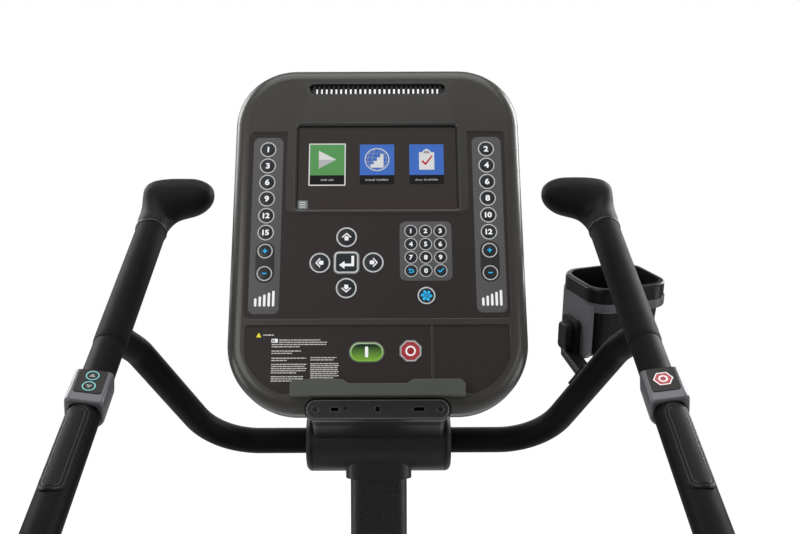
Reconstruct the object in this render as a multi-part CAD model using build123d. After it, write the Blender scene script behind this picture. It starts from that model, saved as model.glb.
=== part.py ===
"""Stair climber with two independent pedals: floor base, leaning upright, drive in a shroud,
pedal arms on parallel links, sloping handrails joined by a cranked crossbar, console on a yoke,
lift-out cup holder. Millimetres, +Z up, +Y towards the console, +X to the right of the user, who
faces +Y; origin on the floor at the centre of the base. The front of the base is its +Y end; the
front of the console faces the user. Each piece is written to parts/NODE.step."""

from build123d import *
import math
import os

os.makedirs("parts", exist_ok=True)

# ---------------------------------------------------------------- shared dimensions
RUN = 0.05  # radial running clearance
# console, in its own frame: u to the right, v up the face, w out of the face
CONSOLE_TILT = 34.0  # lean of the face from vertical, degrees
CONSOLE_Y, CONSOLE_Z = 480.3, 1477.0  # origin of the console frame
CONSOLE_HALF_W = 207.0
CONSOLE_TOP, CONSOLE_BOTTOM = 274.0, -238.0
CONSOLE_R_TOP, CONSOLE_R_BOTTOM = 88.0, 99.0
SPLIT_W = -42.0  # parting plane between front and rear shells
FACE_WALL = 6.0
SHELL_WALL = 3.5
# yoke, crossbar and column
YOKE_Y, YOKE_Z, YOKE_R = 491.5, 1162.0, 45.5
BAR_OD, BAR_WALL = 38.1, 2.5
COLUMN_LEAN = 19.0
COLUMN_W, COLUMN_D, COLUMN_R = 84.0, 60.0, 14.0
COLUMN_WALL = 3.5
# handrails
RAIL_X = 343.0
RAIL_OD, RAIL_ID = 40.0, 34.0
RAIL_SLOPE = 17.7
RAIL_REF_Y, RAIL_REF_Z = 243.9, 1356.2  # a point on the rail axis
RAIL_TOP_Y, RAIL_BEND_Y = 628.0, -385.0
# base
BASE_Z0, BASE_Z1 = 45.0, 95.0
REAR_Y, FRONT_Y, OUTRIGGER_Y = -658.0, 545.0, -110.0
RAIL_FOOT_Y, RAIL_FOOT_Z = OUTRIGGER_Y, BASE_Z1
# pedal mechanism and drive
PIVOT_Y, PIVOT_Z = 400.0, 300.0
LINK_DROP = 50.0
ARM_X = 93.0
SHAFT_R, PIN_R = 10.0, 8.0
DRIVE_Y, DRIVE_Z, DRIVE_SHAFT_R = 367.0, 620.0, 8.0
ALTERNATOR_Y, ALTERNATOR_Z = 420.0, 700.0
ALTERNATOR_BORE_R = 6.3
# floor bolts
BOLT_HOLE_R, BOLT_HEAD_R, BOLT_HEAD_H = 4.3, 6.5, 5.5
FOOT_PLATE_T = 8.0

COS_TILT, SIN_TILT = math.cos(math.radians(CONSOLE_TILT)), math.sin(math.radians(CONSOLE_TILT))
COS_LEAN, SIN_LEAN = math.cos(math.radians(COLUMN_LEAN)), math.sin(math.radians(COLUMN_LEAN))
COS_RAIL, SIN_RAIL = math.cos(math.radians(RAIL_SLOPE)), math.sin(math.radians(RAIL_SLOPE))
TAN_RAIL = math.tan(math.radians(RAIL_SLOPE))

CONSOLE = Plane(
    origin=(0, CONSOLE_Y, CONSOLE_Z), x_dir=(1, 0, 0), z_dir=(0, -COS_TILT, SIN_TILT)
).location
COLUMN = Plane(
    origin=(0, YOKE_Y, YOKE_Z), x_dir=(1, 0, 0), z_dir=(0, SIN_LEAN, COS_LEAN)
).location


# ---------------------------------------------------------------- helpers
def out(name, *shapes):
    solids = []
    for shape in shapes:
        solids += list(shape.solids())
    assert solids, name
    whole = solids[0] if len(solids) == 1 else Compound(children=solids)
    export_step(whole, f"parts/{name}.step")


def mirror_x(shape):
    return mirror(shape, about=Plane.YZ)


def out_pair(name, right):
    out(f"right_{name}", right)
    out(f"left_{name}", mirror_x(right))


def block(x0, x1, y0, y1, z0, z1):
    return Pos((x0 + x1) / 2, (y0 + y1) / 2, (z0 + z1) / 2) * Box(
        abs(x1 - x0), abs(y1 - y0), abs(z1 - z0)
    )


def post(radius, height):
    """Cylinder standing on the origin."""
    return Cylinder(radius, height, align=(Align.CENTER, Align.CENTER, Align.MIN))


def cone(radius, end_radius, height):
    return Cone(radius, end_radius, height, align=(Align.CENTER, Align.CENTER, Align.MIN))


def rod(start, end, radius, end_radius=None):
    """Cylinder, or cone, from start to end."""
    start, end = Vector(*start), Vector(*end)
    run = end - start
    place = Plane(origin=start, z_dir=run).location
    if end_radius is None:
        return place * post(radius, run.length)
    return place * cone(radius, end_radius, run.length)


def rod_x(radius, x0, x1, y, z):
    return rod((x0, y, z), (x1, y, z), radius)


def bent_path(points, radii):
    """Wire of straight runs joined by tangent arcs; radii holds one value per inner point."""
    pts = [Vector(*p) for p in points]
    edges, start = [], pts[0]
    for before, corner, after, radius in zip(pts, pts[1:], pts[2:], radii):
        back, ahead = (before - corner).normalized(), (after - corner).normalized()
        angle = math.acos(max(-1.0, min(1.0, back.dot(ahead))))
        reach = radius / math.tan(angle / 2)
        arc_start, arc_end = corner + back * reach, corner + ahead * reach
        bisector = (back + ahead).normalized()
        arc_mid = corner + bisector * (radius / math.sin(angle / 2) - radius)
        edges.append(Edge.make_line(start, arc_start))
        edges.append(Edge.make_three_point_arc(arc_start, arc_mid, arc_end))
        start = arc_end
    edges.append(Edge.make_line(start, pts[-1]))
    return Wire(edges)


def tube(points, radii, outer, inner=None):
    wire = bent_path(points, radii)
    run = Vector(*points[1]) - Vector(*points[0])
    end = Plane(origin=Vector(*points[0]), z_dir=run)
    body = sweep(end * Circle(outer / 2), path=wire)
    if inner:
        body -= sweep(end * Circle(inner / 2), path=wire)
    return body


def try_fillet(shape, edges, radii):
    """Fillet with the first radius that gives a valid solid, or leave the shape as it is."""
    for radius in radii:
        # guards against the kernel failing on a radius too large for the edges
        try:
            got = fillet(edges, radius)
            if got.is_valid and got.volume > 0:
                return got
        except Exception:
            pass
    return shape


def high_edges(shape, axis=Axis.Z):
    return shape.edges().group_by(axis)[-1]


def low_edges(shape, axis=Axis.Z):
    return shape.edges().group_by(axis)[0]


def largest(shape):
    return sorted(shape.solids(), key=lambda s: -s.volume)[0]


def polygon(*points):
    return make_face(Polyline(*points, close=True))


def slab(face, z0, z1):
    """Face extruded between two heights of its frame."""
    return Pos(0, 0, z0) * extrude(face, amount=z1 - z0)


def side_prism(face, x0, x1):
    """Face drawn in (y, z) extruded between two x."""
    plane = Plane(origin=(x0, 0, 0), x_dir=(0, 1, 0), z_dir=(1, 0, 0))
    return extrude(plane * face, amount=x1 - x0)


def rounded(width, height, radius, u=0.0, v=0.0):
    return Pos(u, v) * RectangleRounded(width, height, radius)


# ---------------------------------------------------------------- console shells
OVERLAY_W0, OVERLAY_W1 = -3.0, -1.8  # back and front of the key overlays
SCREEN_V = 115.5
WINDOW = rounded(230.0, 130.0, 4, 0, SCREEN_V)
SCREEN_W, SCREEN_H = 230.0, 130.0
SLOT_V, SLOT_W, SLOT_H = 237.5, 202.0, 17.0  # air slot near the top edge
PORT_V = -232.5
PORT_OPENING = slab(rounded(196, 31, 15, 0, PORT_V), -22, 6)
KEY_GAP, STOP_KEY_GAP = 0.4, 0.45  # the second at the corners of the octagon
CONSOLE_SCREWS = [(-150, 205), (150, 205), (-150, -165), (150, -165)]
BOSS_R = 6


def face_outline(inset=0.0):
    half_w = CONSOLE_HALF_W - inset
    top, bottom = CONSOLE_TOP - inset, CONSOLE_BOTTOM + inset
    face = polygon((-half_w, bottom), (half_w, bottom), (half_w, top), (-half_w, top))
    face = fillet([v for v in face.vertices() if v.Y < 0], CONSOLE_R_BOTTOM - inset)
    upper = face.vertices().filter_by(lambda v: v.Y > top - 1)
    return fillet(upper, CONSOLE_R_TOP - inset)


def air_slot(shrink=0.0):
    return Pos(0, SLOT_V) * SlotOverall(SLOT_W - shrink, SLOT_H - shrink)


def key_outlines(gap=0.0, stop_gap=0.0):
    """Outlines of the moving keys, or of their holes when gaps are given."""
    return {
        "start_key": Pos(-15.0, -154.4) * SlotOverall(45.0 + 2 * gap, 25.6 + 2 * gap),
        "stop_key": Pos(44.6, -153.2) * RegularPolygon(15.0 + stop_gap, 8, rotation=22.5),
        "enter_key": rounded(34.0 + 2 * gap, 31.0 + 2 * gap, 6.5 + gap, -43.3, -28.1),
        "fan_key": Pos(67.4, -75.9) * Circle(12.3 + gap),
    }


KEY_HOLES = key_outlines(KEY_GAP, STOP_KEY_GAP)


def upper_field():
    """U-shaped field of the key overlay, round the screen."""
    field = rounded(369, 279, 9, 0, 30.5) - rounded(258, 200, 9, 0, 146)
    return field + Pos(0, -40) * Rectangle(200, 60)


def lower_fields():
    """Left and right fields below the U."""
    field = face_outline(24) & (Pos(0, -217) * Rectangle(420, 200))
    field = field & rounded(363, 96, 6, 0, -164)
    left = field - (Pos(173.5, -160) * Rectangle(200, 140))
    right = field - (Pos(-24.5, -160) * Rectangle(200, 140)) - (
        Pos(-140, -160) * Rectangle(200, 140)
    )
    return left, right


def front_body():
    body = slab(face_outline(), SPLIT_W, 0)
    return try_fillet(body, high_edges(body), [20, 16, 12])


def front_shell(body):
    shell = body - slab(face_outline(SHELL_WALL), SPLIT_W - 1, -FACE_WALL - 14)
    shell -= slab(face_outline(16), -FACE_WALL - 15, -FACE_WALL)
    for field in (UPPER_FIELD, LOWER_LEFT, LOWER_RIGHT):
        shell -= slab(field, OVERLAY_W0, 1)
    window = slab(WINDOW, -FACE_WALL - 20, 1)
    bevel = Pos(0, 0, -2.5) * extrude(WINDOW, amount=3.0, taper=-45)
    shell = shell - window - bevel
    shell -= slab(air_slot(), -40, 1)
    for hole in KEY_HOLES.values():
        shell -= slab(hole, -FACE_WALL - 1, 1)
    # screw bosses, open to the rear
    for u, v in CONSOLE_SCREWS:
        shell += Pos(u, v, SPLIT_W) * post(BOSS_R, -SPLIT_W - FACE_WALL)
    for u, v in CONSOLE_SCREWS:
        shell -= Pos(u, v, SPLIT_W - 1) * post(1.7, 20)
    return shell - PORT_OPENING


def rear_body(inset=0.0):
    """Tapered body behind the parting plane, its back cut at a slant, thicker at the bottom."""
    body = Pos(0, 0, SPLIT_W) * extrude(
        face_outline(inset), amount=62, dir=(0, 0, -1), taper=14
    )
    beyond = Box(700, 1400, 200, align=(Align.CENTER, Align.CENTER, Align.MAX))
    cutter = Pos(0, CONSOLE_TOP, -80) * (Rotation(2.6, 0, 0) * beyond)
    return body - Pos(0, 0, inset) * cutter


def rounded_rear_body():
    body = rear_body()
    return try_fillet(body, body.faces().sort_by(Axis.Z)[0].edges(), [12, 8, 5])


def rear_shell(body):
    shell = body - rear_body(SHELL_WALL)
    opening = Pos(0, 252) * SlotOverall(SLOT_W + 6, 46)  # behind the air slot
    shell -= slab(opening, -100, -46)
    for i in range(-6, 7):
        shell -= slab(Pos(i * 14, 40) * SlotOverall(60, 5, rotation=90), -120, -60)
    for u, v in CONSOLE_SCREWS:
        shell += (Pos(u, v, SPLIT_W - 45) * post(BOSS_R, 45)) & body
    for u, v in CONSOLE_SCREWS:
        shell -= Pos(u, v, -130) * post(2.2, 130 + SPLIT_W + 1)
        shell -= Pos(u, v, -130) * post(4.6, 130 - 62)
    return shell


UPPER_FIELD = upper_field()
LOWER_LEFT, LOWER_RIGHT = lower_fields()
FRONT_BODY, REAR_BODY = front_body(), rounded_rear_body()
out("console_front_shell", CONSOLE * front_shell(FRONT_BODY))
out("console_rear_shell", CONSOLE * rear_shell(REAR_BODY))


# ---------------------------------------------------------------- overlays and keys
def overlay(field, *key_names):
    sheet = slab(field, OVERLAY_W0, OVERLAY_W1)
    for name in key_names:
        sheet -= slab(KEY_HOLES[name], OVERLAY_W0 - 1, OVERLAY_W1 + 1)
    return CONSOLE * sheet


def moving_key(outline):
    key = slab(outline, -FACE_WALL + 0.6, OVERLAY_W1 + 1.2)
    return CONSOLE * try_fillet(key, high_edges(key), [0.7, 0.4])


def membrane_keys():
    """Low round domes on the overlay: side columns, arrow cross, number pad."""
    rows_v = [142.2, 117.0, 91.9, 66.8, 41.5, 16.4]
    left_u, right_u = -157.2, 156.7
    # (u, v, radius)
    spots = [(u, v, 11.3) for u in (left_u, right_u) for v in rows_v]
    spots += [(u, v, 10.4) for u in (left_u, right_u) for v in (-10.8, -43.4)]
    spots += [
        (-43.3, 9.0, 14.3), (-43.3, -65.0, 14.3),
        (-80.3, -28.1, 14.3), (-6.0, -28.1, 14.3),
    ]
    spots += [(46.8 + 20.6 * i, 17.9 - 19.35 * j, 9.0) for j in range(4) for i in range(3)]
    domes = []
    for u, v, radius in spots:
        dome = Pos(u, v, OVERLAY_W1) * post(radius, 0.9)
        domes.append(CONSOLE * try_fillet(dome, high_edges(dome), [0.5]))
    return domes


out("key_overlay", overlay(UPPER_FIELD, "enter_key", "fan_key"))
out("lower_overlay", overlay(LOWER_LEFT, "start_key", "stop_key"), overlay(LOWER_RIGHT))
for key_name, key_outline in key_outlines().items():
    out(key_name, moving_key(key_outline))
out("membrane_keys", *membrane_keys())


# ---------------------------------------------------------------- console internals
FAN_V, FAN_W = 204.0, -37.0
FAN_SHAFT_R = 3


def screen_lens():
    sheet = rounded(SCREEN_W + 12, SCREEN_H + 12, 3, 0, SCREEN_V)
    return slab(sheet, -FACE_WALL - 2.2, -FACE_WALL)


def screen_module():
    panel = Pos(0, SCREEN_V) * Rectangle(SCREEN_W + 10, SCREEN_H + 10)
    return slab(panel, -FACE_WALL - 9, -FACE_WALL - 2.3)


def control_board():
    back, front = -22, -20.4
    board = slab(rounded(300, 130, 4, 0, -45), back, front)
    for u, v in [(-130, 5), (130, 5), (-130, -95), (130, -95)]:
        board -= Pos(u, v, back - 1) * post(2.2, 4)
    board += slab(Pos(-60, -45) * Rectangle(36, 36), front, front + 3)
    return board + slab(Pos(30, -75) * Rectangle(60, 12), front, front + 8)


def fan_grille():
    """Frame ring with upright ribs, set in the air slot."""
    grille = slab(air_slot(), -15, -1.5) - slab(air_slot(3), -16, 0)
    rib_pitch, rib_half_w, rib_half_h = 7.1, 2.1, 7.6
    for i in range(-13, 14):
        u = i * rib_pitch
        grille += block(
            u - rib_half_w, u + rib_half_w, SLOT_V - rib_half_h, SLOT_V + rib_half_h, -15, -3.0
        )
    return grille & slab(air_slot(0.6), -16, 0)


def fan_rod(u0, u1, radius):
    """Cylinder on the fan axis."""
    return rod((u0, FAN_V - 1, FAN_W - 2), (u1, FAN_V - 1, FAN_W - 2), radius)


def fan_housing():
    """Trough open upwards, with a motor at its right end."""
    box = block(-104, 104, FAN_V - 21, FAN_V + 18, FAN_W - 21, FAN_W + 17)
    box -= block(-101, 101, FAN_V - 18, FAN_V + 30, FAN_W - 18, FAN_W + 14)
    box -= fan_rod(-110, 110, FAN_SHAFT_R + RUN)
    motor = fan_rod(104, 128, 15)
    motor -= fan_rod(100, 120, FAN_SHAFT_R + RUN)
    return box + motor


def fan_impeller():
    impeller = fan_rod(-103.5, 118, FAN_SHAFT_R)
    for u in (-98, -33, 33, 96):
        impeller += fan_rod(u, u + 2, 14)
    blade = block(-98, 98, 2.4, 3.6, 8, 13.5)
    for k in range(12):
        impeller += Pos(0, FAN_V - 1, FAN_W - 2) * (Rotation(30 * k, 0, 0) * blade)
    return impeller


out("screen_lens", CONSOLE * screen_lens())
out("screen_module", CONSOLE * screen_module())
out("control_board", CONSOLE * control_board())
out("fan_grille", CONSOLE * fan_grille())
out("fan_housing", CONSOLE * fan_housing())
out("fan_impeller", CONSOLE * fan_impeller())


# ---------------------------------------------------------------- ledge and socket bar
LEDGE_DEPTH = 20.5
PORT_SCREW_U, PORT_SCREW_W = 83, 1.0  # place of the screws, seat of their heads


def accessory_ledge():
    """Shelf standing out of the face, with a notched lip."""
    lip = polygon(
        (-116, -214), (116, -214), (116, -200), (110, -194.5), (47, -194.5),
        (38, -200), (-38, -200), (-47, -194.5), (-110, -194.5), (-116, -200),
    )
    ledge = slab(lip, LEDGE_DEPTH - 3.5, LEDGE_DEPTH)
    ledge += slab(Pos(0, -213.5) * Rectangle(232, 5), 0.0, LEDGE_DEPTH)
    return try_fillet(ledge, high_edges(ledge), [1.0, 0.6])


def port_bar():
    bar = slab(rounded(192, 28, 13.9, 0, PORT_V), -20, 5)
    bar = try_fillet(bar, high_edges(bar), [2.0, 1.2])
    # rectangular socket, small round hole, stepped jack hole, rounded socket
    bar -= slab(rounded(10.4, 4.8, 0.4, -57, PORT_V), -8, 6)
    bar -= slab(Pos(-43, PORT_V + 1.5) * Circle(1.4), -8, 6)
    bar -= slab(Pos(0, PORT_V) * Circle(3.6), 3.5, 6)
    bar -= slab(Pos(0, PORT_V) * Circle(1.8), -4, 4)
    bar -= slab(rounded(15.0, 5.4, 2.0, 55, PORT_V), -8, 6)
    for side in (-1, 1):
        centre = Pos(side * PORT_SCREW_U, PORT_V)
        bar -= slab(centre * Circle(4.2), PORT_SCREW_W, 6)
        bar -= slab(centre * Circle(1.8), -20.5, PORT_SCREW_W + 1)
    return bar


def port_screw(side):
    centre = Pos(side * PORT_SCREW_U, PORT_V)
    return CONSOLE * (
        slab(centre * Circle(3.7), PORT_SCREW_W, 3.4)
        + slab(centre * Circle(1.7), -19, PORT_SCREW_W)
        - slab(centre * RegularPolygon(1.6, 6), 2.0, 4)
    )


out("accessory_ledge", CONSOLE * accessory_ledge())
out("port_bar", CONSOLE * port_bar())


# ---------------------------------------------------------------- yoke, neck, crossbar
YOKE_HALF_W = 97
NECK_HALF_W, NECK_WALL = 95, 6
BAR_FIT = 0.1  # radial gap round the crossbar
# outline of the neck side, (y, z)
NECK_SIDE = [
    (YOKE_Y - 38, YOKE_Z + 24), (416, 1226), (400, 1262),
    (520, 1345), (560, 1335), (YOKE_Y + 44, YOKE_Z + 14),
]


def rail_point(y, x=RAIL_X):
    """Point on the rail axis."""
    return (x, y, RAIL_REF_Z + (y - RAIL_REF_Y) * TAN_RAIL)


# right half of the crossbar: low bend, high bend, end in the rail
BAR_LOW = (245.0, YOKE_Y, YOKE_Z)
BAR_HIGH = (325.0, 397.0, 1350.0)
BAR_RIGHT = [BAR_LOW, BAR_HIGH, rail_point(353.9)]
BAR_POINTS = [(-x, y, z) for x, y, z in reversed(BAR_RIGHT)] + BAR_RIGHT
BAR_RADII = [60, 95, 95, 60]


def column_outline(grow=0.0, radius=COLUMN_R):
    return RectangleRounded(COLUMN_W + grow, COLUMN_D + grow, radius)


def yoke_housing():
    collar = COLUMN * slab(RectangleRounded(98, 74, 20), -52, 0)
    column_gap = COLUMN * slab(column_outline(0.4), -80, 0)
    housing = rod_x(YOKE_R, -YOKE_HALF_W, YOKE_HALF_W, YOKE_Y, YOKE_Z) + collar
    housing -= rod_x(YOKE_R - 4, -YOKE_HALF_W - 2, YOKE_HALF_W + 2, YOKE_Y, YOKE_Z)
    return housing - column_gap


def yoke_end_cap():
    cap = rod_x(YOKE_R, YOKE_HALF_W, YOKE_HALF_W + 10.5, YOKE_Y, YOKE_Z)
    cap = try_fillet(cap, high_edges(cap, Axis.X), [9, 7, 5])
    return cap - rod_x(BAR_OD / 2 + BAR_FIT, 90, 120, YOKE_Y, YOKE_Z)


def console_neck():
    """Hollow neck from the yoke up to the back of the console."""
    side = polygon(*NECK_SIDE)
    neck = side_prism(side, -NECK_HALF_W, NECK_HALF_W)
    neck = try_fillet(neck, neck.edges().filter_by(Axis.X, reverse=True), [8, 5, 3])
    inner_half_w = NECK_HALF_W - NECK_WALL
    cavity = side_prism(offset(side, -NECK_WALL), -inner_half_w, inner_half_w)
    console_hull = CONSOLE * (FRONT_BODY + REAR_BODY)
    neck = neck - cavity - console_hull - rod_x(YOKE_R + 0.05, -120, 120, YOKE_Y, YOKE_Z)
    neck -= CONSOLE * PORT_OPENING
    return largest(neck)


def crossbar():
    """Cranked tube, its ends cut to fit the rails."""
    bar = tube(BAR_POINTS, BAR_RADII, BAR_OD, BAR_OD - 2 * BAR_WALL)
    rail_tool = rod(rail_point(100), rail_point(600), RAIL_OD / 2 + 0.02)
    return largest(bar - rail_tool - mirror_x(rail_tool))


END_CAP = yoke_end_cap()
out("yoke_housing", yoke_housing())
out("yoke_end_caps", END_CAP, mirror_x(END_CAP))
out("console_neck", console_neck())
out("crossbar", crossbar())

# ---------------------------------------------------------------- column
COLUMN_LEN = (YOKE_Z - BASE_Z1) / COS_LEAN
COLUMN_FOOT_Y = YOKE_Y - (YOKE_Z - BASE_Z1) * SIN_LEAN / COS_LEAN
COLUMN_BOLTS = [(x, COLUMN_FOOT_Y + dy) for x in (-24, 24) for dy in (-55, 55)]


def upright_column():
    inner = column_outline(-2 * COLUMN_WALL, COLUMN_R - COLUMN_WALL)
    length = COLUMN_LEN + 40  # overlong, cut off at the base
    column = COLUMN * (
        Pos(0, 0, -length)
        * (extrude(column_outline(), amount=length) - extrude(inner, amount=length))
    )
    column -= block(-200, 200, -400, 600, -100, BASE_Z1)
    # crossbar saddle at the top
    column = column - rod_x(26.9, -60, 60, YOKE_Y, YOKE_Z) - block(
        -100, 100, 400, 600, YOKE_Z + 8, 1300
    )
    column = largest(column)
    column += rod_x(27, -58, 58, YOKE_Y, YOKE_Z)
    column -= rod_x(BAR_OD / 2 + BAR_FIT, -70, 70, YOKE_Y, YOKE_Z)
    # foot plate, open where the tube stands on it
    column += block(
        -40, 40, COLUMN_FOOT_Y - 70, COLUMN_FOOT_Y + 70, BASE_Z1, BASE_Z1 + FOOT_PLATE_T
    ) - (COLUMN * slab(inner, -COLUMN_LEN - 60, 0))
    # side plates carrying the drive
    for side in (-1, 1):
        column += block(side * 36, side * 42, 330, 445, 585, 760)
    column -= rod_x(DRIVE_SHAFT_R + RUN, -60, 60, DRIVE_Y, DRIVE_Z)
    column -= rod_x(ALTERNATOR_BORE_R, 30, 60, ALTERNATOR_Y, ALTERNATOR_Z)
    for x, y in COLUMN_BOLTS:
        column -= Pos(x, y, BASE_Z1 - 1) * post(BOLT_HOLE_R, 12)
    return column


out("upright_column", upright_column())

# ---------------------------------------------------------------- handrails
RAIL_BOLT_DX = 37
CORE_R = 18.7  # tube necked down to this radius above STEP_Y
STEP_Y = 386.0
SLEEVE_END_Y, COLLAR_Y = 331.0, 584.7


def handrail():
    foot = (RAIL_X, RAIL_FOOT_Y, RAIL_FOOT_Z + FOOT_PLATE_T)
    rail = tube([rail_point(RAIL_TOP_Y), rail_point(RAIL_BEND_Y), foot], [115], RAIL_OD, RAIL_ID)
    rail -= rod(rail_point(STEP_Y), rail_point(RAIL_TOP_Y + 20), 25) - rod(
        rail_point(STEP_Y - 10), rail_point(RAIL_TOP_Y + 30), CORE_R
    )
    plate = block(
        RAIL_X - 50, RAIL_X + 50, RAIL_FOOT_Y - 28, RAIL_FOOT_Y + 28,
        RAIL_FOOT_Z, RAIL_FOOT_Z + FOOT_PLATE_T,
    )
    rail += try_fillet(plate, plate.edges().filter_by(Axis.Z), [10])
    rail -= block(
        RAIL_X - 60, RAIL_X + 60, RAIL_FOOT_Y - 90, RAIL_FOOT_Y + 90,
        RAIL_FOOT_Z - 60, RAIL_FOOT_Z,
    )
    for side in (-1, 1):
        rail -= Pos(RAIL_X + side * RAIL_BOLT_DX, RAIL_FOOT_Y, RAIL_FOOT_Z - 1) * post(
            BOLT_HOLE_R, 12
        )
    return rail


def rail_sleeve():
    """Rubber sleeve, notched round the crossbar."""
    sleeve = rod(rail_point(SLEEVE_END_Y), rail_point(COLLAR_Y - 1), 21.2, 22.4)
    sleeve -= rod(rail_point(SLEEVE_END_Y - 5), rail_point(STEP_Y), RAIL_OD / 2)
    sleeve -= rod(rail_point(STEP_Y - 5), rail_point(COLLAR_Y + 5), CORE_R)
    sleeve -= tube(BAR_POINTS, BAR_RADII, BAR_OD + 0.6)
    return largest(sleeve)


def sleeve_collar():
    return rod(rail_point(COLLAR_Y - 1), rail_point(COLLAR_Y + 2), 24.0) - rod(
        rail_point(COLLAR_Y - 5), rail_point(COLLAR_Y + 8), CORE_R
    )


SLEEVE, COLLAR = rail_sleeve(), sleeve_collar()
out_pair("handrail", handrail())
out("rail_sleeves", SLEEVE, mirror_x(SLEEVE), COLLAR, mirror_x(COLLAR))

# left palm grip, oval sections from the neck on the rail to the rounded inner end:
# centre, two half sizes and the two directions they run in
GRIP_SECTIONS = [
    ((-343.0, 587.0, 1465.7), 22.5, 22.4, (-1.0000, 0.0000, 0.0000), (0.0000, -0.3040, 0.9527)),
    ((-342.5, 600.9, 1472.4), 24.1, 22.6, (-0.8913, 0.1401, 0.4313), (0.3215, -0.4754, 0.8189)),
    ((-340.3, 615.0, 1480.3), 27.5, 23.6, (-0.8167, 0.1783, 0.5488), (0.2936, -0.6903, 0.6613)),
    ((-338.9, 625.7, 1487.5), 32.2, 24.6, (-0.7609, 0.2005, 0.6171), (0.1845, -0.8449, 0.5020)),
    ((-335.4, 634.3, 1494.6), 36.7, 25.2, (-0.6901, 0.2236, 0.6883), (0.0646, -0.9282, 0.3664)),
    ((-325.9, 639.1, 1499.7), 37.6, 25.4, (-0.6021, 0.2467, 0.7594), (0.0000, -0.9511, 0.3090)),
    ((-310.8, 641.0, 1502.3), 34.8, 25.0, (-0.4685, 0.2730, 0.8402), (0.0000, -0.9511, 0.3090)),
    ((-293.5, 641.6, 1503.9), 31.1, 24.0, (-0.3025, 0.2945, 0.9065), (0.0000, -0.9511, 0.3090)),
    ((-277.8, 641.1, 1505.8), 27.2, 22.5, (-0.1549, 0.3053, 0.9396), (0.0000, -0.9511, 0.3090)),
    ((-265.0, 640.4, 1506.9), 20.6, 19.0, (-0.0591, 0.3085, 0.9494), (0.0000, -0.9511, 0.3090)),
    ((-257.3, 639.4, 1507.0), 12.6, 12.4, (0.0192, 0.3090, 0.9509), (0.0000, -0.9511, 0.3090)),
    ((-254.6, 639.0, 1507.0), 5.6, 5.4, (0.0192, 0.3090, 0.9509), (0.0000, -0.9511, 0.3090)),
]
GRIP_RING_POINTS = 16


def faceted_solid(rings):
    """Closed solid over a run of point rings, in small flat facets."""
    triangles = []
    for low, high in zip(rings, rings[1:]):
        for i in range(len(low)):
            j = (i + 1) % len(low)
            triangles += [(low[i], low[j], high[j]), (low[i], high[j], high[i])]
    for ring in (rings[0], rings[-1]):
        middle = sum(ring, Vector(0, 0, 0)) * (1 / len(ring))
        for i in range(len(ring)):
            triangles.append((ring[i], ring[(i + 1) % len(ring)], middle))
    body = Solid(Shell([Face(Wire.make_polygon(t, close=True)) for t in triangles]))
    return body if body.volume > 0 else Solid(body.wrapped.Reversed())


def palm_grip(side):
    """Grip on the right (side 1) or left (side -1) rail."""
    rings = []
    for centre, size_a, size_b, dir_a, dir_b in GRIP_SECTIONS:
        middle, axis_a, axis_b = Vector(*centre), Vector(*dir_a) * size_a, Vector(*dir_b) * size_b
        ring = []
        for i in range(GRIP_RING_POINTS):
            turn = math.radians(i * 360 / GRIP_RING_POINTS)
            point = middle + axis_a * math.cos(turn) + axis_b * math.sin(turn)
            ring.append(Vector(-side * point.X, point.Y, point.Z))
        rings.append(ring)
    core = rod(rail_point(500, side * RAIL_X), rail_point(RAIL_TOP_Y, side * RAIL_X), CORE_R)
    return faceted_solid(rings) - core


out("palm_grips", palm_grip(1), palm_grip(-1))

# ---------------------------------------------------------------- remotes and pulse pads
REMOTE_Y0, REMOTE_Y1 = 215.0, 266.0
REMOTE_ROLL = 10.0  # remotes turned about the rail, their tops towards the middle
REMOTE_LEN = (REMOTE_Y1 - REMOTE_Y0) / COS_RAIL
PLATE_H = 23.4  # top of the face plate above the rail axis
PLATE_AT = 33.5  # centre of the face plate along the housing
RAIL_KEY_R, STOP_KEY_R = 8.0, 12.0
RAIL_KEY_H = 2.3
TO_Y = Rotation(-90, 0, 0)  # turns a +z axis to +y of the rail frame
SPEED_KEYS = {
    "speed_down_key": Pos(0, PLATE_H, PLATE_AT - 9.0),
    "speed_up_key": Pos(0, PLATE_H, PLATE_AT + 9.0),
}
RAIL_STOP_AT = Pos(0, PLATE_H, PLATE_AT)
PAD_Y0, PAD_Y1 = 91.0, 211.0


def rail_frame(y, x=RAIL_X):
    """z along the rail towards the console, y square to it upwards, x to the left."""
    return Plane(
        origin=rail_point(y, x), x_dir=(-1, 0, 0), z_dir=(0, COS_RAIL, SIN_RAIL)
    ).location


def remote_housing():
    """Rounded block round the tube, with a recess for the face plate in its flat top."""
    section = polygon((-23.3, -23.5), (23.3, -23.5), (23.3, 23.5), (-23.3, 23.5))
    section = fillet([v for v in section.vertices() if v.Y < 0], 18)
    section = fillet([v for v in section.vertices() if v.Y > 20 and abs(v.X) > 20], 6.4)
    housing = extrude(section, amount=REMOTE_LEN)
    housing = try_fillet(housing, high_edges(housing) + low_edges(housing), [2.6, 2.0, 1.5])
    housing -= Pos(0, 0, -5) * post(RAIL_OD / 2, REMOTE_LEN + 10)
    return housing - Pos(0, PLATE_H, PLATE_AT) * Box(33.9, 3.2, 38.4)


def remote_face():
    plate = Pos(0, PLATE_H - 0.8, PLATE_AT) * Box(33.5, 1.5, 38.0)
    return try_fillet(plate, plate.edges().filter_by(Axis.Y), [4])


def with_speed_holes(shape, depth):
    for place in SPEED_KEYS.values():
        shape -= place * (TO_Y * Cylinder(RAIL_KEY_R + 0.3, depth))
    return shape


def with_stop_hole(shape):
    hexagon = extrude(RegularPolygon(STOP_KEY_R + 0.35, 6), amount=4.5, both=True)
    return shape - RAIL_STOP_AT * (TO_Y * hexagon)


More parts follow.
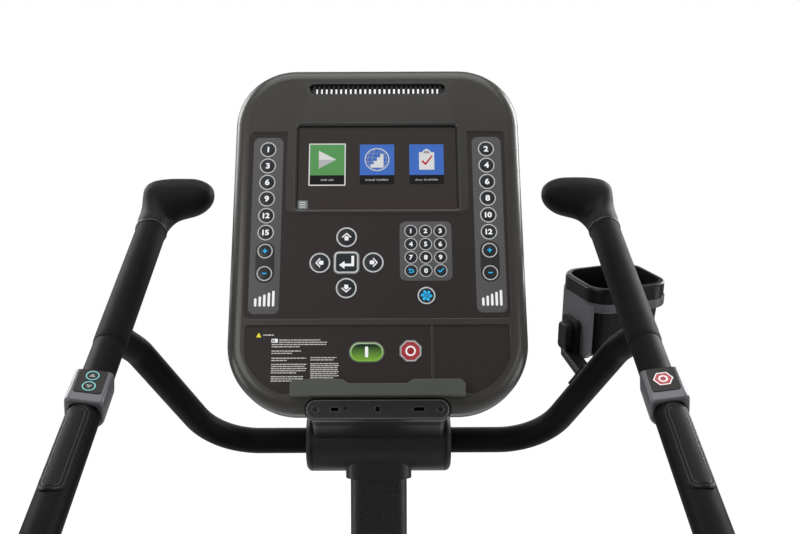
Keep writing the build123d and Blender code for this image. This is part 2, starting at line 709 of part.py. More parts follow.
def rail_key(body):
    """Key cap sunk into the housing, its top edge rounded."""
    key = Pos(0, -0.7, 0) * (TO_Y * body)
    return try_fillet(key, high_edges(key, Axis.Y), [0.5])


def pulse_pad():
    """Curved plate on top of the rail, below the remote."""
    length = (PAD_Y1 - PAD_Y0) / COS_RAIL
    pad = post(RAIL_OD / 2 + 1.4, length) - Pos(0, 0, -1) * post(RAIL_OD / 2, length + 2)
    return pad & extrude(
        Plane.XZ * (Pos(0, length / 2) * RectangleRounded(30, length - 1, 11)), amount=-60
    )


RIGHT_REMOTE = rail_frame(REMOTE_Y0) * Rotation(0, 0, -REMOTE_ROLL)
LEFT_REMOTE = rail_frame(REMOTE_Y0, -RAIL_X) * Rotation(0, 0, REMOTE_ROLL)
HOUSING, FACE_PLATE, PAD = remote_housing(), remote_face(), pulse_pad()
out(
    "remote_housings",
    LEFT_REMOTE * with_speed_holes(HOUSING, 9),
    RIGHT_REMOTE * with_stop_hole(HOUSING),
)
out(
    "remote_faces",
    LEFT_REMOTE * with_speed_holes(FACE_PLATE, 12),
    RIGHT_REMOTE * with_stop_hole(FACE_PLATE),
)
for key_name, key_place in SPEED_KEYS.items():
    out(key_name, LEFT_REMOTE * (key_place * rail_key(Cylinder(RAIL_KEY_R, RAIL_KEY_H))))
STOP_CAP = extrude(RegularPolygon(STOP_KEY_R, 6), amount=RAIL_KEY_H / 2, both=True)
out("rail_stop_key", RIGHT_REMOTE * (RAIL_STOP_AT * rail_key(STOP_CAP)))
out("pulse_pads", rail_frame(PAD_Y0, -RAIL_X) * PAD, rail_frame(PAD_Y0) * PAD)

# ---------------------------------------------------------------- cup holder
# frame of the holder: origin at the centre of its top, turned about the vertical
HOLDER = Location((360.0, 572.0, 1396.0), (0, 0, 18.0))
LIP_H, RING_H, POCKET_H = 22.0, 15.0, 71.0
HOLDER_LOW = -LIP_H - RING_H - POCKET_H - 5.2
RELEASE_Y, RELEASE_Z = -3, -86.0
TO_X = Rotation(0, 90, 0)  # turns a +z axis to +x


def holder_liner():
    """Lip and tapering pocket."""
    liner = slab(RectangleRounded(130, 112, 31), -LIP_H, 0)
    liner = try_fillet(liner, high_edges(liner), [3.5, 3])
    liner += Pos(0, 0, -LIP_H) * extrude(
        RectangleRounded(118, 100, 27), amount=RING_H + POCKET_H, dir=(0, 0, -1), taper=4
    )
    return liner - Pos(0, 0, 0.5) * extrude(
        RectangleRounded(115, 97, 26),
        amount=LIP_H + RING_H + POCKET_H - 3.5,
        dir=(0, 0, -1),
        taper=3.6,
    )


def holder_frame():
    """Ring under the lip, cheek on the side towards the middle, foot under the pocket."""
    frame = Pos(0, 0, -LIP_H - RING_H) * extrude(
        RectangleRounded(133, 115, 32), amount=RING_H - 0.4
    )
    frame = try_fillet(frame, low_edges(frame), [3, 2])
    cheek = block(-66.5, -60, -47, 34, HOLDER_LOW, -LIP_H - 3)
    frame += try_fillet(cheek, cheek.edges().filter_by(Axis.X).group_by(Axis.Z)[0], [16])
    frame += block(-64, 12, -30, 30, HOLDER_LOW, HOLDER_LOW + 4.6)
    frame -= Pos(0, 0, -LIP_H + 1) * extrude(
        RectangleRounded(119.4, 101.4, 27.7),
        amount=RING_H + POCKET_H + 1.4,
        dir=(0, 0, -1),
        taper=3.9,
    )
    return largest(frame)


def holder_bracket():
    """Plate beside the cheek, arm to the crossbar, saddle against the crossbar."""
    plate = HOLDER * block(-73.6, -66.9, -24, 20, -124, -58)
    short_level = plate.edges().filter_by(
        lambda e: abs(e.tangent_at(0).Z) < 0.01 and e.length < 8
    )
    plate = try_fillet(plate, short_level, [8, 6])
    bar_point = Vector(293.0, 434.8, 1274.8)
    bar_dir = (Vector(*BAR_HIGH) - Vector(*BAR_LOW)).normalized()
    away = Vector(0.18, 0.93, -0.31)
    away = (away - bar_dir * away.dot(bar_dir)).normalized()  # square to the bar
    saddle = Plane(origin=bar_point, x_dir=away, z_dir=bar_dir).location * (
        (Pos(0, 0, -22) * post(24.4, 44)) & block(13, 40, -30, 30, -30, 30)
    )
    arm_start = bar_point + away * 22
    arm_run = (HOLDER * Pos(-70.2, -2, -116.5)).position - arm_start
    arm = Plane(origin=arm_start, z_dir=arm_run, x_dir=(1, 0, 0)).location * extrude(
        RectangleRounded(24, 15, 5), amount=arm_run.length + 6
    )
    bracket = saddle + arm + plate
    bracket -= tube(BAR_POINTS, BAR_RADII, BAR_OD + 0.2)
    bracket -= HOLDER * block(-66.8, 75, -70, 70, -140, 10)
    bracket -= HOLDER * (Pos(-70, RELEASE_Y, RELEASE_Z) * (TO_X * Cylinder(5.2, 40)))
    return largest(bracket)


def release_pad():
    """Rounded block pushed in to free the holder, on a short stem."""
    pad = Pos(-86.6, RELEASE_Y, RELEASE_Z) * (
        TO_X * extrude(RectangleRounded(43, 27, 8), amount=10.4)
    )
    pad = try_fillet(pad, low_edges(pad, Axis.X), [3.5, 2.5])
    return pad + Pos(-76.4, RELEASE_Y, RELEASE_Z) * (TO_X * post(5, 6))


out("holder_liner", HOLDER * holder_liner())
out("holder_frame", HOLDER * holder_frame())
out("holder_bracket", holder_bracket())
out("release_pad", HOLDER * release_pad())

# ---------------------------------------------------------------- base
CROSS_TUBES = [(REAR_Y, 330.0), (FRONT_Y, 300.0), (OUTRIGGER_Y, 425.0)]  # y, half length
TUBE_HALF_W, SPINE_HALF_W, TUBE_WALL, TUBE_R = 30, 40, 3.5, 7
FEET_AT = [(-285, REAR_Y), (285, REAR_Y), (-225, FRONT_Y), (225, FRONT_Y)]
WHEEL_X, WHEEL_Y, WHEEL_Z = 260, FRONT_Y + 63, 38
AXLE_R, WHEEL_HALF_W = 5, 11.5


def base_tube(x0, x1, y0, y1, axis):
    body = block(x0, x1, y0, y1, BASE_Z0, BASE_Z1)
    return fillet(body.edges().filter_by(axis), TUBE_R)


def base_frame():
    base = base_tube(-SPINE_HALF_W, SPINE_HALF_W, REAR_Y, FRONT_Y, Axis.Y)
    for y, half in CROSS_TUBES:
        base += base_tube(-half, half, y - TUBE_HALF_W, y + TUBE_HALF_W, Axis.X)
    z0, z1 = BASE_Z0 + TUBE_WALL, BASE_Z1 - TUBE_WALL
    spine_inner, cross_inner = SPINE_HALF_W - TUBE_WALL, TUBE_HALF_W - TUBE_WALL
    hollow = block(-spine_inner, spine_inner, REAR_Y + 10, FRONT_Y - 10, z0, z1)
    for y, half in CROSS_TUBES:
        hollow += block(-half - 1, half + 1, y - cross_inner, y + cross_inner, z0, z1)
    base -= hollow
    for side in (-1, 1):
        # pivot plate, spring shelf, wheel ears and axle
        plate = block(side * 30, side * 36, 330, 496, BASE_Z1, PIVOT_Z + 55)
        plate = try_fillet(plate, plate.edges().filter_by(Axis.X).group_by(Axis.Z)[-1], [30])
        base += plate + block(side * 30, side * 106, 476, 496, 102, 114)
        wheel_x = side * WHEEL_X
        for ear_side in (-1, 1):
            ear_x = wheel_x + ear_side * 15
            ear = block(ear_x - 2, ear_x + 2, FRONT_Y + 27, FRONT_Y + 80, 22, 84)
            base += try_fillet(ear, ear.edges().filter_by(Axis.X).group_by(Axis.Y)[-1], [14])
        base += rod_x(AXLE_R, wheel_x - 15, wheel_x + 15, WHEEL_Y, WHEEL_Z)
    base -= rod_x(SHAFT_R, -60, 60, PIVOT_Y, PIVOT_Z)
    base -= rod_x(PIN_R, -60, 60, PIVOT_Y, PIVOT_Z - LINK_DROP)
    for x, y in FEET_AT:
        base -= Pos(x, y, BASE_Z0 - 1) * post(6.1, 6)
    return base


def levelling_foot(x, y):
    """Pad, stem, collar cone and nut."""
    foot = Pos(x, y, 0) * post(27, 12)
    foot = try_fillet(foot, high_edges(foot) + low_edges(foot), [2.5])
    foot += Pos(x, y, 12) * post(6, 54)
    foot += Pos(x, y, 12) * cone(16, 9, 10)
    return foot + Pos(x, y, 35.5) * extrude(RegularPolygon(10.5, 6), amount=9)


def tube_end_cap(y, half, side):
    cap = block(
        side * half, side * (half + 5), y - TUBE_HALF_W, y + TUBE_HALF_W, BASE_Z0, BASE_Z1
    )
    cap = try_fillet(cap, cap.edges().filter_by(Axis.X), [TUBE_R])
    return cap + block(
        side * (half - 16), side * half, y - 26.2, y + 26.2, BASE_Z0 + 3.8, BASE_Z1 - 3.8
    )


def wheel(side):
    def disc(radius, dx0, dx1):
        return rod_x(radius, side * WHEEL_X + dx0, side * WHEEL_X + dx1, WHEEL_Y, WHEEL_Z)

    body = disc(30, -WHEEL_HALF_W, WHEEL_HALF_W)
    body = try_fillet(body, body.edges(), [3])
    body -= disc(AXLE_R + RUN, -20, 20)
    # ring-shaped recess in each face
    for face in (-1, 1):
        body -= disc(22, face * WHEEL_HALF_W, face * 8) - disc(10, face * 12, face * 7)
    return body


out("base_frame", base_frame())
out("levelling_feet", *[levelling_foot(x, y) for x, y in FEET_AT])
out("tube_end_caps", *[tube_end_cap(y, half, s) for y, half in CROSS_TUBES for s in (-1, 1)])
out("left_wheel", wheel(-1))
out("right_wheel", wheel(1))

# ---------------------------------------------------------------- pedal mechanism
ARM_LEN = 600.0
ARM_REST = math.radians(15.0)  # arm elevation with the pedals up
HINGE_Y = PIVOT_Y - ARM_LEN * math.cos(ARM_REST)
HINGE_Z = PIVOT_Z + ARM_LEN * math.sin(ARM_REST)
LINK_END_Z = HINGE_Z - LINK_DROP
ARM_DIR = Vector(0, -math.cos(ARM_REST), math.sin(ARM_REST))
LUG = Vector(ARM_X, PIVOT_Y, PIVOT_Z) + ARM_DIR * 150  # on the arm axis, below the lug
LINK_X0, LINK_X1 = 60.0, 68.0
PEDAL_X, PEDAL_HALF_W = 135.0, 79.0


def along_arm(x, z):
    """Frame at the pivot end, z along the arm."""
    return Plane(origin=(x, PIVOT_Y, z), x_dir=(1, 0, 0), z_dir=ARM_DIR).location


def pedal_arm():
    frame = along_arm(ARM_X, PIVOT_Z)
    arm = frame * extrude(RectangleRounded(26, 50, 6), amount=ARM_LEN)
    arm -= frame * slab(RectangleRounded(20, 44, 4), 30, ARM_LEN - 30)
    arm += rod_x(25, ARM_X - 20, ARM_X + 20, PIVOT_Y, PIVOT_Z) + rod_x(
        25, ARM_X - 13, ARM_X + 13, HINGE_Y, HINGE_Z
    )
    arm -= rod_x(SHAFT_R + RUN, 50, 130, PIVOT_Y, PIVOT_Z)
    arm -= rod_x(PIN_R + RUN, 50, 130, HINGE_Y, HINGE_Z)
    return arm + Pos(ARM_X, LUG.Y, LUG.Z + 30) * Box(8, 22, 26)


def link():
    pivot_z = PIVOT_Z - LINK_DROP
    bar = along_arm((LINK_X0 + LINK_X1) / 2, pivot_z) * extrude(
        RectangleRounded(LINK_X1 - LINK_X0, 20, 2), amount=ARM_LEN
    )
    bar += rod_x(15, LINK_X0, LINK_X1, PIVOT_Y, pivot_z) + rod_x(
        15, LINK_X0, LINK_X1, HINGE_Y, LINK_END_Z
    )
    bar -= rod_x(PIN_R + RUN, 50, 80, PIVOT_Y, pivot_z)
    return bar - rod_x(PIN_R + 0.4, 50, 80, HINGE_Y, LINK_END_Z)


def pedal():
    """Platform on a two-plate bracket, with hinge pin and lower link pin."""
    x0, x1 = PEDAL_X - PEDAL_HALF_W, PEDAL_X + PEDAL_HALF_W
    y0, y1 = HINGE_Y - 250, HINGE_Y + 70
    z0, z1 = HINGE_Z + 50, HINGE_Z + 76
    body = block(x0, x1, y0, y1, z0, z1)
    body = fillet(body.edges().filter_by(Axis.Z), 26)
    body = try_fillet(body, high_edges(body), [5, 3])
    rim = block(x0, x1, y1 - 16, y1, z1 - 10, z1 + 30)
    body += fillet(rim.edges().filter_by(Axis.Z), 7.5)
    # hollow from below, solid over the bracket
    body -= block(x0 + 8, x1 - 8, y0 + 20, y1 - 20, z0 - 1, z1 - 8) - block(
        70, 122, y0 + 10, y1, z0 - 2, z1
    )
    for plate_x0, plate_x1, low_z in ((71, 77, LINK_END_Z - 16), (109, 115, HINGE_Z - 14)):
        plate = block(plate_x0, plate_x1, HINGE_Y - 60, HINGE_Y + 30, low_z, z0 + 4)
        body += try_fillet(plate, plate.edges().filter_by(Axis.X).group_by(Axis.Z)[0], [12])
    body += rod_x(PIN_R, 71, 115, HINGE_Y, HINGE_Z)
    return body + rod_x(PIN_R, 56, 75, HINGE_Y, LINK_END_Z)


out(
    "pivot_shafts",
    rod_x(SHAFT_R, -118, 118, PIVOT_Y, PIVOT_Z),
    rod_x(PIN_R, -71, 71, PIVOT_Y, PIVOT_Z - LINK_DROP),
)
out_pair("pedal_arm", pedal_arm())
out_pair("link", link())
out_pair("pedal", pedal())

# ---------------------------------------------------------------- drive
DRUM_R, PULLEY_R, SMALL_PULLEY_R = 30, 60, 18
WRAP_GAP = 0.2  # between a belt or strap and what it runs on
BELT_T, STRAP_T, STRAP_HALF_W = 2.5, 2.0, 7


def drive_rod(radius, x0, x1):
    return rod_x(radius, x0, x1, DRIVE_Y, DRIVE_Z)


def alternator_rod(radius, x0, x1):
    return rod_x(radius, x0, x1, ALTERNATOR_Y, ALTERNATOR_Z)


def clutch_drum():
    drum = drive_rod(DRUM_R, ARM_X - 10, ARM_X + 10) + drive_rod(
        DRUM_R + 4, ARM_X - 13, ARM_X - 10
    ) + drive_rod(DRUM_R + 4, ARM_X + 10, ARM_X + 13)
    return drum - drive_rod(DRIVE_SHAFT_R + RUN, 70, 120)


def drive_pulley():
    """Dished pulley on its shaft."""
    pulley = drive_rod(PULLEY_R, 50, 64) - drive_rod(52, 49, 54) - drive_rod(52, 60, 65)
    return pulley + (drive_rod(18, 49, 66) + drive_rod(DRIVE_SHAFT_R, -110, 110))


def alternator_body():
    body = alternator_rod(48, -33, 35)
    body = try_fillet(body, body.edges(), [5])
    return body - alternator_rod(ALTERNATOR_BORE_R, 20, 60)


def drive_belt():
    """Loop round both pulleys."""
    run = Vector(0, ALTERNATOR_Y - DRIVE_Y, ALTERNATOR_Z - DRIVE_Z)
    spread = math.acos((PULLEY_R - SMALL_PULLEY_R) / run.length)
    heading = math.atan2(run.Z, run.Y)

    def on_drive(radius, angle):
        return (DRIVE_Y + radius * math.cos(angle), DRIVE_Z + radius * math.sin(angle))

    def on_alternator(radius, angle):
        return (ALTERNATOR_Y + radius * math.cos(angle), ALTERNATOR_Z + radius * math.sin(angle))

    def loop(grow):
        large, small = PULLEY_R + grow, SMALL_PULLEY_R + grow
        drive_1, drive_2 = on_drive(large, heading + spread), on_drive(large, heading - spread)
        alt_1 = on_alternator(small, heading + spread)
        alt_2 = on_alternator(small, heading - spread)
        return make_face(
            [
                ThreePointArc(drive_1, on_drive(-large, heading), drive_2).edge(),
                Line(drive_2, alt_2).edge(),
                ThreePointArc(alt_2, on_alternator(small, heading), alt_1).edge(),
                Line(alt_1, drive_1).edge(),
            ]
        )

    return side_prism(loop(WRAP_GAP + BELT_T) - loop(WRAP_GAP), 52, 62)


def drive_strap():
    """Strap from the arm lug over the drum, down to the spring."""
    inner = DRUM_R + WRAP_GAP
    outer = inner + STRAP_T
    lug_y, lug_z = LUG.Y, LUG.Z + 44.5

    def half_disc(r):
        left, right = (DRIVE_Y - r, DRIVE_Z), (DRIVE_Y + r, DRIVE_Z)
        arc = ThreePointArc(left, (DRIVE_Y, DRIVE_Z + r), right)
        return make_face([arc.edge(), Line(right, left).edge()])

    def band(face):
        return side_prism(face, ARM_X - STRAP_HALF_W, ARM_X + STRAP_HALF_W)

    to_lug = polygon(
        (DRIVE_Y - outer, DRIVE_Z), (DRIVE_Y - inner, DRIVE_Z), (lug_y + 1, lug_z), (lug_y - 1, lug_z)
    )
    to_spring = polygon(
        (DRIVE_Y + inner, DRIVE_Z), (DRIVE_Y + outer, DRIVE_Z),
        (DRIVE_Y + 46, DRIVE_Z - 98), (DRIVE_Y + 44, DRIVE_Z - 98),
    )
    return band(half_disc(outer) - half_disc(inner)) + band(to_lug) + band(to_spring)


def return_spring():
    """Sleeve with ring grooves, from the strap to the shelf on the base."""
    top, bottom = (ARM_X, DRIVE_Y + 45, DRIVE_Z - 99), (ARM_X, 486, 118)
    run = Vector(*bottom) - Vector(*top)
    spring = rod(top, bottom, 13) - rod(top, bottom, 9.5)
    frame = Plane(origin=top, z_dir=run).location
    grooves = 24
    for i in range(grooves):
        middle = (i + 0.5) * run.length / grooves
        spring -= frame * (Pos(0, 0, middle - 2.2) * (post(14, 4.4) - post(11.6, 4.4)))
    return spring


STRAP, SPRING = drive_strap(), return_spring()
out_pair("clutch_drum", clutch_drum())
out("drive_pulley", drive_pulley())
out("alternator_body", alternator_body())
out("alternator_pulley", alternator_rod(SMALL_PULLEY_R, 51, 63) + alternator_rod(6, 22, 63))
out("drive_belt", drive_belt())
out("drive_straps", STRAP, mirror_x(STRAP))
out("return_springs", SPRING, mirror_x(SPRING))

# ---------------------------------------------------------------- shrouds
SHROUD_TOP, SHROUD_HALF_W, SHROUD_WALL = 838, 124, 3.5
# side outline, (y, z)
SHROUD_SIDE = [
    (26, 80), (4, 250), (14, 430), (80, 560), (286, 806),
    (338, SHROUD_TOP), (430, 822), (516, 620), (580, 340), (572, 80),
]


def shroud_body(inset, fillet_above, radii):
    """Right half as a solid; outer side edges rounded, except those at the bottom."""
    face = polygon(*SHROUD_SIDE)
    face = fillet(face.vertices().filter_by(lambda v: v.Y > 200), 38)
    if inset:
        face = offset(face, -inset)
    body = side_prism(face, 0, SHROUD_HALF_W - inset)
    outer_edges = body.faces().sort_by(Axis.X)[-1].edges()
    return try_fillet(body, outer_edges.filter_by(lambda e: e.center().Z > fillet_above), radii)


def shroud(body):
    shell = body - shroud_body(SHROUD_WALL, 119, [30, 22, 14])
    shell -= block(-10, 200, -100, 700, 0, BASE_Z1 + 1.5)
    shell -= block(54, 117, -100, 130, 100, 452)  # slot for the arm and link
    shell -= COLUMN * slab(column_outline(8, COLUMN_R + 3), -900, -20)
    shell -= block(-1, 0.25, -100, 700, 0, 900)  # gap between the halves
    return largest(shell)


def column_boot(body):
    """Rubber boot where the column leaves the shroud."""
    depth = (YOKE_Z - SHROUD_TOP) / COS_LEAN + 4
    boot = COLUMN * (
        Pos(0, 0, -depth)
        * (
            extrude(column_outline(34, 26), amount=58, taper=9)
            - Pos(0, 0, -1) * extrude(column_outline(0.4), amount=70)
        )
    )
    boot -= body + mirror_x(body)
    return largest(boot)


SHROUD_BODY = shroud_body(0, 115, [34, 26, 18])
out_pair("shroud", shroud(SHROUD_BODY))
out("column_boot", column_boot(SHROUD_BODY))


# ---------------------------------------------------------------- bolts
def frame_bolts():
    """Socket bar screws, then hexagon heads on the column and handrail feet."""
    spots = COLUMN_BOLTS + [
        (rail * (RAIL_X + side * RAIL_BOLT_DX), RAIL_FOOT_Y)
        for side in (-1, 1)
        for rail in (-1, 1)
    ]
    head = extrude(RegularPolygon(BOLT_HEAD_R, 6), amount=BOLT_HEAD_H)
    heads = [Pos(x, y, BASE_Z1 + FOOT_PLATE_T) * head for x, y in spots]
    return [port_screw(-1), port_screw(1)] + heads


out("frame_bolts", *frame_bolts())
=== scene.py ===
"""Looks of a stair climber, built round its CAD frame.

The user stands at -Y and faces +Y: +X is the user's right, -X the left, Z is up.
Matrices and node values are in metres. Outlines and heights are in millimetres, drawn
on a local plane: x across, y up the plane, z out of it.
"""
import math
import random

import bmesh
import bpy
from mathutils import Matrix, Vector


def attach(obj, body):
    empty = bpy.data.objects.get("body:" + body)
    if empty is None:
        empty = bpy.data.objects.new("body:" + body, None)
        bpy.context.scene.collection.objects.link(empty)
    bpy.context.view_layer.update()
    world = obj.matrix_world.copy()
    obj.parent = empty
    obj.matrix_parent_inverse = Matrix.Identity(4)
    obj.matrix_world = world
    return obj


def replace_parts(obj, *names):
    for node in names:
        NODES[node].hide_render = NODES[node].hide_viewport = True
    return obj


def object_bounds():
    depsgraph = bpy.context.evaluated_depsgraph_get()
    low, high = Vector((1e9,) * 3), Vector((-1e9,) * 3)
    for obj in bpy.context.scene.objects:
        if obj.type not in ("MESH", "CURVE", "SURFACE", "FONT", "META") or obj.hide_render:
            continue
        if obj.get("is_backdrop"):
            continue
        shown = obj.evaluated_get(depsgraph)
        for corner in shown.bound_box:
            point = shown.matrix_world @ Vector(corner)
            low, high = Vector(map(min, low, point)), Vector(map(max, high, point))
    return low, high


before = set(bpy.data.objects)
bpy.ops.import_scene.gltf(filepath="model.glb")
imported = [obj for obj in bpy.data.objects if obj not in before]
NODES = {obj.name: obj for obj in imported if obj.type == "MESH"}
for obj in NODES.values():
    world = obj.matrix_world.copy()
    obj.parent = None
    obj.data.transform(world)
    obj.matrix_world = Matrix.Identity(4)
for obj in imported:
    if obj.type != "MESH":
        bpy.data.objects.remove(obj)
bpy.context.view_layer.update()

DRAW = random.Random(11)
MM = 0.001
SIDES = ((-1, "left"), (1, "right"))


# ------------------------------------------------------------------ local planes
def slope(degrees):
    return math.sin(math.radians(degrees)), math.cos(math.radians(degrees))


SIN_FACE, COS_FACE = slope(34.0)
SIN_RAIL, COS_RAIL = slope(17.7)
SIN_COLUMN, COS_COLUMN = slope(19.0)

# x to the user's right, y up the console face, z out towards the user
CONSOLE_FACE = Matrix((
    (1, 0, 0, 0),
    (0, SIN_FACE, -COS_FACE, 0.4803),
    (0, COS_FACE, SIN_FACE, 1.477),
    (0, 0, 0, 1),
))
# z up the leaning column
COLUMN_AXIS = Matrix((
    (1, 0, 0, 0),
    (0, COS_COLUMN, SIN_COLUMN, 0.4915),
    (0, -SIN_COLUMN, COS_COLUMN, 1.162),
    (0, 0, 0, 1),
))
PEDAL_TOP = Matrix.Translation((0, 0, 0.53129))

RAIL_X = 0.343  # of either rail, metres
RAIL_KNOWN_Y, RAIL_KNOWN_Z = 243.9, 1356.2  # a point on the rail axis


def rail_frame(y, side):
    """x to the user's left, y up off the rail, z along the rail towards the console."""
    z = RAIL_KNOWN_Z + (y - RAIL_KNOWN_Y) * SIN_RAIL / COS_RAIL
    return Matrix((
        (-1, 0, 0, side * RAIL_X),
        (0, -SIN_RAIL, COS_RAIL, y * MM),
        (0, COS_RAIL, SIN_RAIL, z * MM),
        (0, 0, 0, 1),
    ))


# ------------------------------------------------------------------ shader nodes
def srgb(rgb):
    """Linear RGBA from 0-255 screen values."""

    def linear(c):
        c /= 255.0
        return c / 12.92 if c <= 0.04045 else ((c + 0.055) / 1.055) ** 2.4

    return tuple(linear(c) for c in rgb) + (1.0,)


def feed(tree, target, inputs):
    """Link or set the inputs of a node."""
    for key, value in inputs.items():
        if isinstance(value, bpy.types.NodeSocket):
            tree.links.new(value, target.inputs[key])
        else:
            target.inputs[key].default_value = value


def node(tree, kind, inputs=None, **settings):
    made = tree.nodes.new("ShaderNode" + kind)
    for key, value in settings.items():
        setattr(made, key, value)
    feed(tree, made, inputs or {})
    return made


def new_shader(name):
    """A material, its node tree, its main shader and its object coordinates."""
    made = bpy.data.materials.new(name)
    made.use_nodes = True
    tree = made.node_tree
    coords = node(tree, "TexCoord").outputs["Object"]
    return made, tree, tree.nodes["Principled BSDF"], coords


def noise(tree, coords, scale, detail=2.0):
    inputs = {"Vector": coords, "Scale": scale, "Detail": detail}
    return node(tree, "TexNoise", inputs).outputs["Fac"]


def ramp(tree, factor, positions=(0.0, 1.0), colours=None):
    made = node(tree, "ValToRGB", {"Fac": factor})
    for element, position in zip(made.color_ramp.elements, positions):
        element.position = position
    if colours:
        for element, colour in zip(made.color_ramp.elements, colours):
            element.color = colour
    return made.outputs["Color"]


def blend_colours(tree, factor, first, second):
    inputs = {"Factor": factor, "A": first, "B": second}
    return node(tree, "Mix", inputs, data_type="RGBA").outputs["Result"]


def bump(tree, height, depth, **inputs):
    """Bump of the given depth in millimetres."""
    inputs.update(Height=height, Distance=depth * MM)
    return node(tree, "Bump", inputs).outputs["Normal"]


# ------------------------------------------------------------------ materials
def material(
    name, rgb, rough=0.5, grain=(1500, 0.05), pattern="noise", vary=0.08, vary_scale=9.0,
    metal=0.0, spec=0.5, coat=0.0, coat_rough=0.15, sheen=0.0, painted_glow=0.0,
    glint_specks=None, edge_wear_and_highlight=None, wave=None,
):
    """Procedural finish.

    grain = (texture scale, height in mm), in the pattern noise, voronoi or brushed
    vary = share by which the colour drifts, over noise of vary_scale
    glint_specks = (texture scale, colour, share covered): light specks, painted glints of a wrinkle
    finish edge_wear_and_highlight = (colour on raised edges, strength): lighter raised edges,
    partly wear and partly painted highlight wave = (texture scale, height in mm) of bands along z
    """
    made, tree, shader, coords = new_shader(name)
    base = srgb(rgb)
    drift = noise(tree, coords, vary_scale, detail=4.0)
    dark = [max(0.0, c * (1 - vary)) for c in base[:3]] + [1.0]
    light = [min(1.0, c * (1 + vary)) for c in base[:3]] + [1.0]
    colour = ramp(tree, drift, (0.3, 0.7), (dark, light))
    # light specks over the colour: painted glints
    if glint_specks:
        scale, glint_specks_rgb, amount = glint_specks
        edge = 1.0 - amount
        mask = ramp(tree, noise(tree, coords, scale), (edge, edge + 0.06))
        colour = blend_colours(tree, mask, colour, srgb(glint_specks_rgb))
    # raised edges lightened by pointiness: partly wear, partly painted highlight along lit rims
    if edge_wear_and_highlight:
        edge_wear_and_highlight_rgb, strength = edge_wear_and_highlight
        raised = node(tree, "NewGeometry").outputs["Pointiness"]
        mask = ramp(tree, raised, (0.56, 0.68))
        mask = node(tree, "Math", {0: mask, 1: strength}, operation="MULTIPLY").outputs[0]
        colour = blend_colours(tree, mask, colour, srgb(edge_wear_and_highlight_rgb))

    rough_vary = 0.06
    roughness = node(tree, "MapRange", {
        "Value": noise(tree, coords, 35.0, detail=5.0),
        "To Min": max(0.02, rough - rough_vary),
        "To Max": min(1.0, rough + rough_vary),
    }).outputs["Result"]

    scale, depth = grain
    if pattern == "voronoi":
        inputs = {"Vector": coords, "Scale": scale}
        height = node(tree, "TexVoronoi", inputs, feature="SMOOTH_F1").outputs["Distance"]
    elif pattern == "brushed":
        stretch = node(tree, "Mapping", {"Vector": coords, "Scale": (0.05, 1.0, 1.0)})
        height = noise(tree, stretch.outputs["Vector"], scale, detail=3.0)
    else:
        height = noise(tree, coords, scale, detail=3.0)
    normal = bump(tree, height, depth)
    if wave:
        inputs = {"Vector": coords, "Scale": wave[0]}
        bands = node(tree, "TexWave", inputs, bands_direction="Z").outputs["Fac"]
        normal = bump(tree, bands, wave[1], Normal=normal)

    feed(tree, shader, {
        "Base Color": colour,
        "Roughness": roughness,
        "Normal": normal,
        "Metallic": metal,
        "Specular IOR Level": spec,
        "Coat Weight": coat,
        "Coat Roughness": coat_rough,
        "Sheen Weight": sheen,
    })
    # painted glow: emission in the base colour, so the part glows though it is no lamp
    if painted_glow:
        feed(tree, shader, {"Emission Color": base, "Emission Strength": painted_glow})
    return made


def start_gradient(name, top_rgb, bottom_rgb):
    """Colour running down the start key."""
    top = CONSOLE_FACE @ Vector((-15 * MM, -146 * MM, 0))
    run = CONSOLE_FACE.to_3x3() @ Vector((0, -0.017, 0))
    made, tree, shader, coords = new_shader(name)
    offset = node(tree, "VectorMath", {0: coords, 1: top}, operation="SUBTRACT").outputs[0]
    along = node(
        tree, "VectorMath", {0: offset, 1: run / run.length_squared}, operation="DOT_PRODUCT"
    ).outputs["Value"]
    feed(tree, shader, {
        "Base Color": ramp(tree, along, colours=(srgb(top_rgb), srgb(bottom_rgb))),
        "Normal": bump(tree, noise(tree, coords, 1500), 0.02),
        "Roughness": 0.35,
        "Coat Weight": 0.3,
    })
    return made


def lit(name, rgb, strength):
    """Lit display colour with a slow drift in brightness."""
    made, tree, shader, coords = new_shader(name)
    colour = srgb(rgb)[:3]
    dim = [c * 0.9 for c in colour] + [1]
    bright = [min(1, c * 1.1) for c in colour] + [1]
    feed(tree, shader, {
        "Emission Color": blend_colours(tree, noise(tree, coords, 3.0), dim, bright),
        "Emission Strength": strength,
        "Base Color": [c * 0.25 for c in colour] + [1],
        "Roughness": 0.3,
        "Specular IOR Level": 0.25,
        "Coat Weight": 0.35,
        "Coat Roughness": 0.1,
    })
    return made


# console
# raised edges lighter: painted highlight on the lit rims of the console
CONSOLE = material(
    "console_plastic", (62, 60, 56), rough=0.36, coat=0.28, coat_rough=0.16, vary=0.05,
    edge_wear_and_highlight=((96, 94, 90), 0.35),
)
# painted highlight: lighter, glossy colour for the line round the socket bar's bevel
PORT_EDGE_HIGHLIGHT = material(
    "port_edge_highlight", (128, 126, 122), rough=0.22, coat=0.5, grain=(1500, 0.02), vary=0.05
)
# painted highlight: lighter, glossy colour for raised lines along panel edges, bevels and socket
# rims
EDGE_HIGHLIGHT = material("panel_edge_highlight", (98, 95, 91), rough=0.24, coat=0.5, grain=(1500, 0.02), vary=0.05)
OVERLAY = material(
    "overlay_film", (49, 42, 41), rough=0.5, spec=0.35, grain=(2600, 0.03), pattern="voronoi",
    vary=0.04, vary_scale=5,
)
STRIP = material(
    "strip_film", (92, 92, 92), rough=0.55, grain=(2600, 0.03), pattern="voronoi", vary=0.04
)
PILL = material(
    "pill_film", (46, 40, 40), rough=0.5, grain=(2600, 0.03), pattern="voronoi", vary=0.03
)
